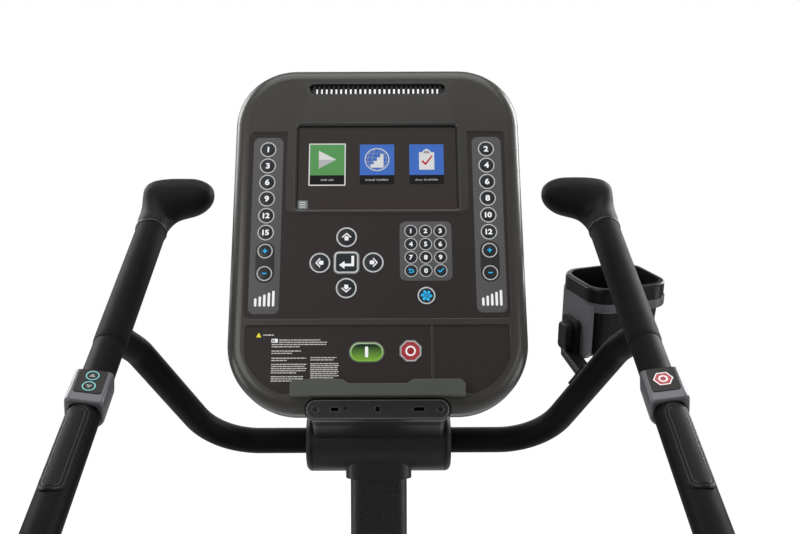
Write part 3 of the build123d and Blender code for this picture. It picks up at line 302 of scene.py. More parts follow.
# the prints below carry a painted glow, emission that makes them read brighter
RING = material(
    "ring_print", (200, 201, 202), rough=0.35, coat=0.3, grain=(900, 0.02), vary_scale=60,
    painted_glow=0.22,
)
KEY_DARK = material("key_centre", (36, 40, 45), rough=0.38, coat=0.3, grain=(2200, 0.02))
WHITE = material(
    "print_white", (240, 241, 242), rough=0.5, grain=(2000, 0.01), vary=0.02, painted_glow=0.35
)
LIGHT_GREY = material(
    "print_grey", (205, 203, 200), rough=0.55, grain=(2000, 0.01), vary=0.03, painted_glow=0.25
)
CYAN = material("print_cyan", (30, 172, 226), rough=0.45, grain=(2000, 0.01), vary=0.03, painted_glow=0.4)
YELLOW = material(
    "print_yellow", (238, 222, 48), rough=0.5, grain=(2000, 0.01), vary=0.03, painted_glow=0.25
)
LEDGE = material(
    "ledge_plastic", (84, 87, 81), rough=0.5, coat=0.1, vary=0.05, edge_wear_and_highlight=((120, 122, 117), 0.4)
)
RED = material(
    "stop_red", (196, 62, 72), rough=0.38, coat=0.4, grain=(1800, 0.02), vary=0.07, vary_scale=40
)
DARK_RED = material(
    "stop_red_dark", (172, 40, 52), rough=0.38, coat=0.4, grain=(1800, 0.02), vary=0.05
)
KEY_BEZEL = material(
    "key_bezel", (150, 154, 152), rough=0.35, coat=0.3, grain=(1200, 0.02), vary=0.1,
    vary_scale=50,
)
# frame and rails
# light specks over the wrinkle finish: painted glints of its texture
WRINKLE_COAT = material(
    "powder_coat_wrinkle", (27, 26, 25), rough=0.4, grain=(420, 0.4), pattern="voronoi",
    vary=0.15, vary_scale=20, glint_specks=(620, (74, 73, 71), 0.36),
)
FINE_COAT = material("powder_coat_fine", (9, 9, 8), rough=0.56, spec=0.13, grain=(1300, 0.025))
YOKE = material("yoke_paint", (34, 33, 32), rough=0.4, spec=0.45, grain=(1300, 0.05))
SLEEVE = material(
    "sleeve_rubber", (12, 12, 12), rough=0.62, spec=0.12, sheen=0.015, grain=(1900, 0.06),
    vary=0.1, vary_scale=14,
)
GRIP = material(
    "grip_rubber", (20, 19, 18), rough=0.55, spec=0.2, sheen=0.03, grain=(1700, 0.08),
    pattern="voronoi", vary=0.1, vary_scale=16,
)
COLLAR = material("collar_gloss", (30, 30, 30), rough=0.22, coat=0.5, grain=(900, 0.02), vary=0.05)
PAD_EDGE = material("pad_edge", (44, 43, 40), rough=0.4, coat=0.15, grain=(1500, 0.02), vary=0.05)
PAD = material("pad_film", (24, 23, 21), rough=0.55, spec=0.16, grain=(1600, 0.04), vary=0.1)
# raised edges much lighter: painted highlight on the housing's edges
REMOTE = material(
    "remote_satin", (96, 96, 101), rough=0.36, metal=0.3, coat=0.2, grain=(1800, 0.03),
    vary=0.06, edge_wear_and_highlight=((170, 170, 174), 0.4),
)
REMOTE_FACE = material(
    "remote_face", (22, 18, 14), rough=0.3, spec=0.22, coat=0.06, grain=(900, 0.01), vary=0.05
)
# the cyan key rings of the remote carry a painted glow
REMOTE_RING = material(
    "remote_ring", (120, 205, 205), rough=0.35, coat=0.4, grain=(900, 0.01), vary=0.05, painted_glow=0.12
)
HOLDER_GREY = material(
    "holder_frame_grey", (86, 87, 92), rough=0.4, coat=0.15, vary=0.06,
    edge_wear_and_highlight=((140, 140, 145), 0.35),
)
# raised edges lighter: painted highlight on the liner's lit rim
HOLDER_BLACK = material(
    "holder_liner_black", (19, 18, 16), rough=0.36, spec=0.22, coat=0.1, grain=(1500, 0.04),
    edge_wear_and_highlight=((92, 90, 85), 0.5),
)
BLACK_PLASTIC = material(
    "black_plastic", (18, 18, 17), rough=0.45, spec=0.3, grain=(1500, 0.06),
    edge_wear_and_highlight=((58, 58, 56), 0.3),
)
GRILLE = material("grille_plastic", (20, 20, 20), rough=0.45, grain=(1500, 0.04))
PORT = material(
    "port_plate", (36, 35, 34), rough=0.42, coat=0.15, vary=0.06, edge_wear_and_highlight=((90, 90, 88), 0.35)
)
# drive, shrouds and pedals
# raised edges lighter: painted highlight along the shroud's edges and slot cuts
SHROUD = material(
    "shroud_plastic", (62, 62, 60), rough=0.45, coat=0.12, grain=(900, 0.09),
    pattern="voronoi", vary=0.05, edge_wear_and_highlight=((96, 96, 94), 0.3),
)
PEDAL = material(
    "pedal_plastic", (34, 34, 34), rough=0.55, grain=(800, 0.12), pattern="voronoi",
    edge_wear_and_highlight=((84, 84, 82), 0.4),
)
TREAD = material(
    "tread_rubber", (24, 24, 24), rough=0.7, grain=(700, 0.15), vary=0.12, vary_scale=30,
    edge_wear_and_highlight=((70, 69, 66), 0.4),
)
STEEL = material(
    "turned_steel", (165, 165, 165), rough=0.3, metal=1.0, grain=(700, 0.03),
    pattern="brushed", vary=0.1,
)
CAST = material("cast_alloy", (120, 121, 123), rough=0.5, metal=0.8, grain=(500, 0.15), vary=0.1)
SPRING = material("spring_steel", (90, 90, 94), rough=0.32, metal=1.0, grain=(900, 0.03), vary=0.1)
BOLT = material(
    "black_oxide", (42, 42, 42), rough=0.35, metal=0.8, grain=(900, 0.03), vary=0.12,
    edge_wear_and_highlight=((150, 150, 150), 0.4),
)
BELT = material("belt_rubber", (22, 22, 22), rough=0.7, grain=(900, 0.1), vary=0.1)
STRAP = material(
    "woven_strap", (30, 30, 32), rough=0.85, sheen=0.2, grain=(900, 0.1), vary=0.15,
    wave=(260, 0.25),
)
WHEEL = material(
    "wheel_rubber", (44, 44, 44), rough=0.65, grain=(900, 0.1), vary=0.1,
    edge_wear_and_highlight=((92, 90, 86), 0.3),
)
BOOT = material("boot_rubber", (27, 27, 27), rough=0.65, spec=0.35, grain=(1200, 0.08), vary=0.1)
BOARD = material(
    "board_resist", (20, 88, 50), rough=0.35, coat=0.4, grain=(300, 0.1), pattern="voronoi",
    vary=0.2, vary_scale=80,
)
TRIM = material(
    "shroud_trim", (36, 36, 35), rough=0.38, coat=0.2, grain=(1100, 0.05), vary=0.06,
    edge_wear_and_highlight=((80, 80, 78), 0.3),
)
# painted shade: near-black with little reflection, put in socket holes and vent gaps
PAINTED_HOLE_SHADE = material("painted_hole_shade", (6, 6, 6), rough=0.7, spec=0.05, grain=(1500, 0.03), vary=0.1)
START_GREEN = start_gradient("start_green", (10, 52, 30), (132, 188, 62))
LCD = lit("lcd_field", (62, 57, 54), strength=0.55)

# CAD nodes keep their shape and take these finishes
for finish, names in (
    (CONSOLE, "console_front_shell console_rear_shell"),
    (OVERLAY, "key_overlay lower_overlay"),
    (LEDGE, "accessory_ledge"),
    (GRILLE, "fan_grille fan_housing fan_impeller"),
    (PORT, "port_bar"),
    (YOKE, "yoke_housing console_neck"),
    (BLACK_PLASTIC, "yoke_end_caps tube_end_caps holder_bracket release_pad"),
    (WRINKLE_COAT, "upright_column base_frame"),
    (FINE_COAT, "crossbar left_handrail right_handrail left_pedal_arm right_pedal_arm"),
    (FINE_COAT, "left_link right_link"),
    (REMOTE_FACE, "remote_faces speed_up_key speed_down_key"),
    (RED, "rail_stop_key stop_key"),
    (KEY_DARK, "enter_key fan_key"),
    (PAD, "pulse_pads"),
    (HOLDER_GREY, "holder_frame"),
    (HOLDER_BLACK, "holder_liner"),
    (SHROUD, "left_shroud right_shroud"),
    (PEDAL, "left_pedal right_pedal"),
    (STEEL, "pivot_shafts left_clutch_drum right_clutch_drum drive_pulley alternator_pulley"),
    (CAST, "alternator_body"),
    (SPRING, "return_springs"),
    (BOLT, "frame_bolts"),
    (BELT, "drive_belt"),
    (STRAP, "drive_straps"),
    (WHEEL, "left_wheel right_wheel"),
    (BLACK_PLASTIC, "levelling_feet"),
    (BOOT, "column_boot"),
    (BOARD, "control_board"),
    (START_GREEN, "start_key"),
    (LCD, "screen_lens"),
    (BLACK_PLASTIC, "screen_module"),
):
    for name in names.split():
        slots = NODES[name].data.materials
        slots.clear()
        slots.append(finish)


# ------------------------------------------------------------------ outlines, millimetres
def arc(x, y, radius, start, end, steps):
    return [
        (x + radius * math.cos(math.radians(start + (end - start) * i / steps)),
         y + radius * math.sin(math.radians(start + (end - start) * i / steps)))
        for i in range(steps + 1)
    ]


def round_rect(width, height, radius, x=0.0, y=0.0, steps=8):
    across, up = width / 2 - radius, height / 2 - radius
    return (
        arc(x + across, y + up, radius, 0, 90, steps)
        + arc(x - across, y + up, radius, 90, 180, steps)
        + arc(x - across, y - up, radius, 180, 270, steps)
        + arc(x + across, y - up, radius, 270, 360, steps)
    )


def rect_band(width, height, radius, wall, x=0.0, y=0.0, steps=8, inner_radius=None):
    """Rounded rectangle with a hole, leaving a wall all round."""
    if inner_radius is None:
        inner_radius = radius - wall
    return [
        round_rect(width, height, radius, x, y, steps),
        round_rect(width - 2 * wall, height - 2 * wall, inner_radius, x, y, steps),
    ]


def box(left, bottom, right, top):
    return [(left, bottom), (right, bottom), (right, top), (left, top)]


def circle(radius, x=0.0, y=0.0, steps=56):
    return arc(x, y, radius, 0, 360 - 360 / steps, steps - 1)


def hoop(outer, inner, x=0.0, y=0.0, steps=56):
    return [circle(outer, x, y, steps), circle(inner, x, y, steps)]


def polygon(sides, radius, x=0.0, y=0.0, turn=0.0):
    angles = [math.radians(turn + 360 * i / sides) for i in range(sides)]
    return [(x + radius * math.cos(a), y + radius * math.sin(a)) for a in angles]


def place(points, x, y, scale=1.0, turn=0.0):
    """Outline scaled, turned by degrees and moved to (x, y)."""
    cos, sin = math.cos(math.radians(turn)), math.sin(math.radians(turn))
    return [(x + scale * (a * cos - b * sin), y + scale * (a * sin + b * cos)) for a, b in points]


def round_corners(points, radius, steps=6):
    """Polygon with rounded corners; radius is one value or one per corner."""
    rounded = []
    count = len(points)
    radii = radius if isinstance(radius, (list, tuple)) else [radius] * count
    for i in range(count):
        before, corner, after = (Vector(points[(i + j - 1) % count]) for j in range(3))
        back, ahead = (before - corner).normalized(), (after - corner).normalized()
        angle = math.acos(max(-1, min(1, back.dot(ahead))))
        if radii[i] <= 0 or angle > 3.1:
            rounded.append(tuple(corner))
            continue
        cut = min(
            radii[i] / math.tan(angle / 2),
            (before - corner).length * 0.49,
            (after - corner).length * 0.49,
        )
        fitted = cut * math.tan(angle / 2)
        centre = corner + (back + ahead).normalized() * (fitted / math.sin(angle / 2))
        first, last = corner + back * cut, corner + ahead * cut
        start = math.atan2(first.y - centre.y, first.x - centre.x)
        end = math.atan2(last.y - centre.y, last.x - centre.x)
        sweep = (end - start + math.pi) % (2 * math.pi) - math.pi
        for j in range(steps + 1):
            q = start + sweep * j / steps
            rounded.append((centre.x + fitted * math.cos(q), centre.y + fitted * math.sin(q)))
    return rounded


# ------------------------------------------------------------------ meshes
def link(made):
    bpy.context.scene.collection.objects.link(made)
    return made


def add_object(name, mesh, finish, body="frame", smooth=40):
    """Object riding on a body; smooth is the sharp-edge angle in degrees, 0 for facets."""
    mesh.materials.clear()
    mesh.materials.append(finish)
    made = link(bpy.data.objects.new(name, mesh))
    if smooth:
        for face in mesh.polygons:
            face.use_smooth = True
        mesh.set_sharp_from_angle(angle=math.radians(smooth))
    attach(made, body)
    return made


def curve_to_mesh(curve):
    """Mesh of a curve or text, which is used up."""
    holder = link(bpy.data.objects.new("tmp", curve))
    depsgraph = bpy.context.evaluated_depsgraph_get()
    mesh = bpy.data.meshes.new_from_object(holder.evaluated_get(depsgraph))
    bpy.data.objects.remove(holder)
    bpy.data.curves.remove(curve)
    return mesh


def slab(group, low, high, bevel=0.0, plane=CONSOLE_FACE):
    """One island between two heights; loops after the first cut holes."""
    curve = bpy.data.curves.new("tmp", "CURVE")
    curve.dimensions = "2D"
    curve.fill_mode = "BOTH"
    bevel = min(bevel, (high - low) / 2 * 0.98)
    curve.extrude = max(1e-7, ((high - low) / 2 - bevel) * MM)
    curve.bevel_depth = bevel * MM
    curve.bevel_resolution = 2
    curve.offset = -bevel * MM
    for loop in group:
        spline = curve.splines.new("POLY")
        spline.points.add(len(loop) - 1)
        spline.points.foreach_set("co", [c for x, y in loop for c in (x * MM, y * MM, 0, 1)])
        spline.use_cyclic_u = True
    mesh = curve_to_mesh(curve)
    mesh.transform(plane @ Matrix.Translation((0, 0, (low + high) / 2 * MM)))
    return mesh


def join(meshes):
    bm = bmesh.new()
    for part in meshes:
        bm.from_mesh(part)
        bpy.data.meshes.remove(part)
    mesh = bpy.data.meshes.new("joined")
    bmesh.ops.remove_doubles(bm, verts=bm.verts, dist=1e-8)
    bm.to_mesh(mesh)
    bm.free()
    return mesh


def flat(
    name, loops, low, high, finish, body="frame", bevel=0.0, plane=CONSOLE_FACE, smooth=35
):
    """Each entry of loops is an island, or a list of loops for one with holes."""
    parts = []
    for loop in loops:
        group = loop if isinstance(loop[0][0], (list, tuple)) else [loop]
        parts.append(slab(group, low, high, bevel, plane))
    return add_object(name, join(parts), finish, body, smooth)


PRINT = -1.8  # height of the overlay surface on the console face


def on_overlay(name, loops, low, high, finish, *body, **options):
    """Flat piece with heights from the overlay surface."""
    return flat(name, loops, PRINT + low, PRINT + high, finish, *body, **options)


def digit_mesh(label, x, y, size, bold):
    low, high = PRINT + 0.95, PRINT + 1.05
    text = bpy.data.curves.new("tmp", "FONT")
    text.body = label
    text.size = size * MM
    text.align_x = "CENTER"
    text.align_y = "CENTER"
    text.offset = bold * MM
    text.extrude = (high - low) / 2 * MM
    text.space_character = 0.95
    text.resolution_u = 5
    mesh = curve_to_mesh(text)
    xs = [vertex.co.x for vertex in mesh.vertices]
    ys = [vertex.co.y for vertex in mesh.vertices]
    middle = ((min(xs) + max(xs)) / 2, (min(ys) + max(ys)) / 2)
    mesh.transform(
        CONSOLE_FACE
        @ Matrix.Translation((x * MM, y * MM, (low + high) / 2 * MM))
        @ Matrix.Diagonal((1.14, 1, 1, 1))
        @ Matrix.Translation((-middle[0], -middle[1], 0))
    )
    return mesh


def skin(name, rings, wrap=False, caps=False):
    """Skin over point rings; wrap joins last to first, caps closes both ends to a centre."""
    bm = bmesh.new()
    rows = [[bm.verts.new(p) for p in ring] for ring in rings]
    count = len(rings[0])
    for a, b in zip(rows, rows[1:] + (rows[:1] if wrap else [])):
        for q in range(count):
            r = (q + 1) % count
            bm.faces.new((a[q], a[r], b[r], b[q]))
    if caps:
        for row in (rows[0], rows[-1]):
            tip = bm.verts.new(sum((vertex.co for vertex in row), Vector()) / count)
            for q in range(count):
                bm.faces.new((row[q], row[(q + 1) % count], tip))
    bmesh.ops.recalc_face_normals(bm, faces=bm.faces)
    mesh = bpy.data.meshes.new(name)
    bm.to_mesh(mesh)
    bm.free()
    return mesh


def lathe(profile, axis):
    """Closed profile of (radius, height) in mm turned round the local z of axis."""
    steps = 64
    rings = []
    for k in range(steps):
        q = 2 * math.pi * k / steps
        cos, sin = math.cos(q), math.sin(q)
        rings.append([axis @ Vector((r * cos * MM, r * sin * MM, h * MM)) for r, h in profile])
    return skin("lathe", rings, wrap=True)


# ------------------------------------------------------------------ screen
SCREEN = -5.99  # height of the picture on the console face
SCREEN_Y = 115.5


def on_screen(name, loops, layer, finish):
    low = SCREEN + layer * 0.014
    flat(name, loops, low, low + 0.012, finish, smooth=0)


footer = lit("ui_footer", (55, 49, 48), strength=0.75)
on_screen("ui_footer", [round_rect(229.6, 16.5, 0.2, 0, 59.0, 1)], 0, footer)

# name, middle x, colour, lengths of the caption words
TILES = (
    ("ui_green", -72.3, (84, 144, 84), (9, 7)),
    ("ui_blue_a", -0.4, (62, 104, 184), (14, 17)),
    ("ui_blue_b", 71.0, (62, 104, 184), (11, 4, 14)),
)
START_X, GLOBE_X = TILES[0][1], TILES[1][1]
CLIPBOARD_X = 71.2
TILE_HALF = 49.6 / 2
TILE_BOTTOM, TILE_TOP, CAPTION_TOP = 89.3, 152.3, 104.2
ICON_Y = (CAPTION_TOP + TILE_TOP) / 2
for name, x, rgb, _ in TILES:
    left, right = x - TILE_HALF, x + TILE_HALF
    picture = box(left, CAPTION_TOP, right, TILE_TOP - 0.6)
    caption = box(left, TILE_BOTTOM + 0.6, right, CAPTION_TOP)
    on_screen(name, [picture], 1, lit(name, rgb, strength=0.85))
    cap_name = name + "_cap"
    on_screen(cap_name, [caption], 1, lit(cap_name, (24, 22, 22), strength=0.8))
tile_height, tile_y = TILE_TOP - TILE_BOTTOM, (TILE_BOTTOM + TILE_TOP) / 2
tile_border = [
    round_rect(53.2, tile_height + 2.4, 1.0, START_X, tile_y, 3),
    round_rect(49.8, tile_height - 1.0, 0.3, START_X, tile_y, 3),
]
UI_WHITE = lit("ui_white", (214, 214, 214), strength=0.8)
UI_GREY = lit("ui_grey", (176, 178, 178), strength=0.8)
UI_MID = lit("ui_mid", (150, 150, 152), strength=0.8)
on_screen("ui_tile_border", [tile_border], 1, UI_WHITE)

# left tile: play arrow, its upper and lower half in two tones
for name, y, tone in (("ui_play_a", 14.0, UI_WHITE), ("ui_play_b", -14.0, UI_GREY)):
    tip, corner = (13.1, 0), (-12.2, 0)
    half = [(-12.2, y), tip, corner] if y > 0 else [corner, tip, (-12.2, y)]
    on_screen(name, [place(half, START_X, ICON_Y)], 2, tone)


# middle tile: globe with stair steps
def ellipse(across, up):
    turns = [2 * math.pi * i / 48 for i in range(48)]
    return [(GLOBE_X + across * math.cos(q), ICON_Y + up * math.sin(q)) for q in turns]


on_screen("ui_globe", [hoop(17.8, 16.6, GLOBE_X, ICON_Y, 64)], 2, UI_WHITE)
for name, squash, layer in (("ui_globe_a", 0.42, 2), ("ui_globe_b", 0.82, 3)):
    meridian = [ellipse(16.9 * squash, 16.9), ellipse(16.9 * squash - 0.7, 16.2)]
    on_screen(name, [meridian], layer, UI_MID)
parallels = []
for y in (-9.5, -3.2, 3.2, 9.5):
    half = math.sqrt(16.4**2 - y * y)
    middle = ICON_Y + y
    parallels.append(box(GLOBE_X - half, middle - 0.35, GLOBE_X + half, middle + 0.35))
on_screen("ui_globe_c", parallels, 4, UI_MID)
step_run, step_rise, step_count = 4.7, 5.2, 4
step_x, step_y = -9.5, -12.5
stairs = [(step_x, step_y)]
for i in range(step_count):
    y = step_y + step_rise * (i + 1)
    stairs += [(step_x + step_run * i, y), (step_x + step_run * (i + 1), y)]
stairs.append((step_x + step_run * step_count, step_y))
on_screen("ui_steps", [place(stairs, GLOBE_X, ICON_Y)], 5, UI_WHITE)

# right tile: clipboard with tick
BOARD_OUTLINE = [
    (-11, -16), (11, -16), (11, 11.2), (6.3, 11.2), (4.3, 14.4), (1.6, 15.4),
    (0, 17.6), (-1.6, 15.4), (-4.3, 14.4), (-6.3, 11.2), (-11, 11.2),
]
BOARD_RADII = [0.8, 0.8, 0.8, 0.4, 0.8, 0.6, 1.2, 0.6, 0.8, 0.4, 0.8]
CLIP_OUTLINE = [(-5, 9.4), (5, 9.4), (3.4, 13.0), (-3.4, 13.0)]
TICK_OUTLINE = [(-7.6, -3.4), (-5.6, -1.2), (-1.8, -5.2), (7.4, 6.4), (8.8, 5.0), (-1.5, -9.2)]
board = round_corners(place(BOARD_OUTLINE, CLIPBOARD_X, ICON_Y), BOARD_RADII)
on_screen("ui_board", [board], 2, UI_WHITE)
clip = round_corners(place(CLIP_OUTLINE, CLIPBOARD_X, ICON_Y), 0.6)
on_screen("ui_clip", [clip], 3, UI_MID)
tick_red = lit("ui_red", (176, 24, 44), strength=0.85)
on_screen("ui_tick", [place(TICK_OUTLINE, CLIPBOARD_X, ICON_Y)], 3, tick_red)

# captions: words of thin upright strokes
CAPTION_Y, WORD_GAP = 95.6, 1.8
strokes = []
for _, x, _, lengths in TILES:
    total = sum(lengths) + WORD_GAP * (len(lengths) - 1)
    word_x = x - total / 2
    for length in lengths:
        stroke_x = word_x
        while stroke_x < word_x + length - 0.6:
            height = DRAW.choice((1.7, 2.3, 2.9))
            strokes.append(box(stroke_x, CAPTION_Y, stroke_x + 0.85, CAPTION_Y + height))
            stroke_x += 1.55
        word_x += length + WORD_GAP
on_screen("ui_captions", strokes, 2, UI_GREY)
CHIP = (-106.6, 59.4)
chip_grey = lit("ui_chip", (120, 124, 126), strength=0.7)
on_screen("ui_chip", [round_rect(15.0, 13.2, 2.2, *CHIP, 5)], 1, chip_grey)
chip_bars = [round_rect(8.6, 1.3, 0.5, CHIP[0], CHIP[1] + y, 3) for y in (-3.4, 0.0, 3.4)]
on_screen("ui_chip_bars", chip_bars, 2, UI_WHITE)
# black gasket round the display
gasket = [round_rect(229.9, 129.9, 3.9, 0, SCREEN_Y), round_rect(227.0, 125.6, 1.2, 0, 115.1)]
flat("screen_gasket", [gasket], -5.9, -5.2, GRILLE, bevel=0.2)

# ------------------------------------------------------------------ printed fields and keys
LEVEL_XS = (-157.2, 156.8)
LEVEL_YS = (142.2, 117.0, 91.9, 66.8, 41.5, 16.4)
LEVEL_LABELS = ("1 3 6 9 12 15", "2 4 6 8 10 12")
PLUS_Y, MINUS_Y = -10.8, -43.4
NAV_KEYS = ((-43.3, 9.1), (-80.3, -28.3), (-6.0, -28.0), (-43.3, -64.8))
KEYPAD_X, KEYPAD_Y = 46.8, 17.9  # middle of the first number key
KEYPAD_PITCH_X, KEYPAD_PITCH_Y = 20.6, 19.35
ENTER = (-43.3, -28.1)
FAN = (67.4, -75.9)
START = (-15, -154.4)
STOP = (44.6, -153.2)

strips = [round_rect(42.6, 262, 9, -157.0, 29.8), round_rect(41.9, 261, 9, 157.4, 30.5)]
on_overlay("level_strips", strips, 0, 0.12, STRIP, bevel=0.05)
wells = [
    round_rect(26.5, 59.5, 13.2, -157.1, -27.3, 12),
    round_rect(26.5, 59.5, 13.2, 156.8, -26.6, 12),
]
on_overlay("plus_minus_wells", wells, 0.1, 0.26, PILL, bevel=0.05)
keypad_field = round_rect(73.0, 86.5, 8.5, 67.6, -11.2)
on_overlay("keypad_field", [keypad_field], 0, 0.12, STRIP, bevel=0.05)

PLUS = [
    (-3.2, -0.9), (-0.9, -0.9), (-0.9, -3.2), (0.9, -3.2), (0.9, -0.9), (3.2, -0.9),
    (3.2, 0.9), (0.9, 0.9), (0.9, 3.2), (-0.9, 3.2), (-0.9, 0.9), (-3.2, 0.9),
]
MINUS = box(-3.0, -0.9, 3.0, 0.9)
RETURN_ARROW = [
    (-4.6, 1.4), (-1.6, 4.2), (-1.6, 2.3), (2.6, 2.3), (4.3, 0.6),
    (4.3, -1.8), (2.6, -3.5), (-3.4, -3.5), (-3.4, -1.9), (2.0, -1.9),
    (2.7, -1.2), (2.7, 0.0), (2.0, 0.7), (-1.6, 0.7), (-1.6, -1.2),
]
KEYPAD_TICK = [(-4.4, -0.2), (-3.2, 1.1), (-1.2, -0.9), (3.6, 3.8), (4.8, 2.6), (-1.2, -3.4)]
rims, discs, digits, cyan_marks = [], [], [], []


def add_key(x, y, radius, rim=1.5):
    rims.append(hoop(radius, radius - rim, x, y))
    discs.append(circle(radius - rim + 0.05, x, y))


for x, labels in zip(LEVEL_XS, LEVEL_LABELS):
    for y, label in zip(LEVEL_YS, labels.split()):
        add_key(x, y, 11.5)
        digits.append(digit_mesh(label, x, y, size=11.4 if len(label) == 1 else 10.4, bold=0.4))
for x in LEVEL_XS:
    for y, mark in ((PLUS_Y, PLUS), (MINUS_Y, MINUS)):
        add_key(x, y, 10.7)
        cyan_marks.append(place(mark, x, y))
for x, y in NAV_KEYS:
    add_key(x, y, 14.5, rim=2.1)
nav_shadows = [hoop(15.6, 14.4, x, y) for x, y in NAV_KEYS]
on_overlay("nav_rim_shadow", nav_shadows, 0, 0.05, PILL)
# the keys either side of 0 carry marks instead of digits
for j, row in enumerate(("123", "456", "789", " 0 ")):
    for i, label in enumerate(row):
        x, y = KEYPAD_X + KEYPAD_PITCH_X * i, KEYPAD_Y - KEYPAD_PITCH_Y * j
        add_key(x, y, 9.1, rim=1.15)
        if label != " ":
            digits.append(digit_mesh(label, x, y, size=8.8, bold=0.32))
on_overlay("key_rings", rims, 0, 0.85, RING, bevel=0.3)
key_discs = on_overlay("key_discs", discs, 0, 0.95, KEY_DARK, bevel=0.4)
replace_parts(key_discs, "membrane_keys")
add_object("key_digits", join(digits), WHITE, smooth=0)

# navigation arrows: arrow head with a chevron over it
ARROW_HEAD = [
    (0, 3.5), (-4.4, -0.2), (-2.9, -0.2), (-2.9, -4.3), (2.9, -4.3), (2.9, -0.2), (4.4, -0.2),
]
CHEVRON = [(0, 7.9), (-7.4, 1.3), (-6.1, 0.1), (0, 5.6), (6.1, 0.1), (7.4, 1.3)]
arrows = []
for x, y, turn in ((-43.3, 8.2, 0), (-43.3, -64.0, 180), (-79.4, -28.3, 90), (-6.8, -28.0, -90)):
    arrows += [place(mark, x, y, 0.92, turn) for mark in (ARROW_HEAD, CHEVRON)]
on_overlay("nav_arrows", arrows, 0.94, 1.02, WHITE, smooth=0)

# enter key: moves on its own inside a rim on the overlay
MARK = 1.19  # height over the overlay of the marks on the moving keys
ENTER_ARROW = [
    (10.6, 10.4), (6.8, 10.4), (6.8, -1.2), (-3.0, -1.2), (-3.0, 2.6),
    (-10.8, -3.1), (-3.0, -8.8), (-3.0, -5.0), (10.6, -5.0),
]
enter_rim = [round_rect(36.6, 33.4, 8.0, *ENTER), round_rect(34.4, 31.4, 6.9, *ENTER)]
on_overlay("enter_rim", [enter_rim], 0, 0.5, KEY_BEZEL, bevel=0.2)
enter_ring = rect_band(34.0, 31.0, 6.5, 2.4, *ENTER, inner_radius=4.2)
on_overlay("enter_ring", [enter_ring], MARK, 1.32, RING, "enter_button", bevel=0.05)
enter_arrow = place(ENTER_ARROW, -43.0, -28.6, 0.98)
on_overlay("enter_arrow", [enter_arrow], MARK, 1.27, WHITE, "enter_button", smooth=0)

# fan key
BLADE = [(0.8, 0.6), (1.6, 2.6), (1.2, 5.6), (3.2, 7.4), (5.4, 6.2), (5.6, 3.6), (3.6, 1.4)]
on_overlay("fan_ring", [hoop(12.3, 10.4, *FAN)], MARK, 1.32, RING, "fan_button", bevel=0.05)
blades = [round_corners(place(BLADE, *FAN, 0.98, 60 * k), 0.5, 3) for k in range(6)]
on_overlay("fan_glyph", blades, MARK, 1.27, CYAN, "fan_button", smooth=0)
on_overlay("fan_hub", [circle(1.3, *FAN, 24)], MARK, 1.29, CYAN, "fan_button", smooth=0)

# marks on the last row of the keypad
cyan_marks.append(place(RETURN_ARROW, 46.8, -40.1, 0.9))
cyan_marks.append(place(KEYPAD_TICK, 88.0, -40.1, 0.95))
on_overlay("cyan_marks", cyan_marks, 0.94, 1.02, CYAN, smooth=0)

# five rising bars at the foot of each level strip
bars = []
for first_x in (-168.4, 145.6):
    for k in range(5):
        height = 11.5 + 2.7 * k
        bars.append(round_rect(3.3, height, 1.5, first_x + 6.15 * k, -90.4 + height / 2, 5))
on_overlay("level_bars", bars, 0.12, 0.2, WHITE, smooth=0)

# start key
start_rim = rect_band(47.6, 28.2, 14.0, 1.0, *START, 14)
on_overlay("start_rim", [start_rim], 0, 1.1, KEY_BEZEL, bevel=0.45)
halo = rect_band(45.0, 25.6, 12.7, 2.0, *START, 14)
halo_green = start_gradient("start_halo_green", (196, 226, 170), (150, 220, 70))
on_overlay("start_halo", [halo], MARK, 1.3, halo_green, "start_button", bevel=0.04)
start_bar = round_rect(4.4, 15.0, 2.1, *START, 6)
on_overlay("start_bar", [start_bar], MARK, 1.34, WHITE, "start_button", bevel=0.06)


# stop key
def octagon_band(outer, inner):
    return [polygon(8, radius, *STOP, 22.5) for radius in (outer, inner)]


on_overlay("stop_rim", [octagon_band(16.3, 15.2)], 0, 1.1, KEY_BEZEL, bevel=0.4, smooth=20)
for name, loop, high, finish, options in (
    ("stop_band", octagon_band(14.9, 13.4), 1.3, RING, {"bevel": 0.04, "smooth": 20}),
    ("stop_inner", octagon_band(11.8, 11.2), 1.24, DARK_RED, {"smooth": 0}),
    ("stop_ring", hoop(7.0, 4.9, *STOP), 1.3, WHITE, {"bevel": 0.04}),
    ("stop_dot", circle(4.0, *STOP), 1.25, DARK_RED, {"smooth": 0}),
):
    on_overlay(name, [loop], MARK, high, finish, "stop_button", **options)

# ------------------------------------------------------------------ printed note
triangle = round_corners([(-165.8, -133.6), (-158.2, -133.6), (-162.0, -126.8)], 0.8, 3)
on_overlay("note_triangle", [triangle], 0, 0.06, YELLOW, smooth=0)
words = []


def text_line(left, right, y, height=1.3):
    """Row of blocks of random length, standing for words."""
    x = left
    while x < right:
        length = DRAW.uniform(2.2, 6.5)
        length = min(length, right - x)
        if length > 0.6:
            words.append(box(x, y, x + length, y + height))
        x += length + 0.75


def set_lines(top, spans):
    for k, (left, right) in enumerate(spans):
        text_line(left, right, top - 3.1 * k)


def ragged_lines(left, right, top, pitch, count, last_cut):
    """Lines of slightly random length; the last is shorter by last_cut."""
    for k in range(count):
        cut = last_cut if k == count - 1 else DRAW.uniform(0, 3)
        text_line(left, right - cut, top - pitch * k)


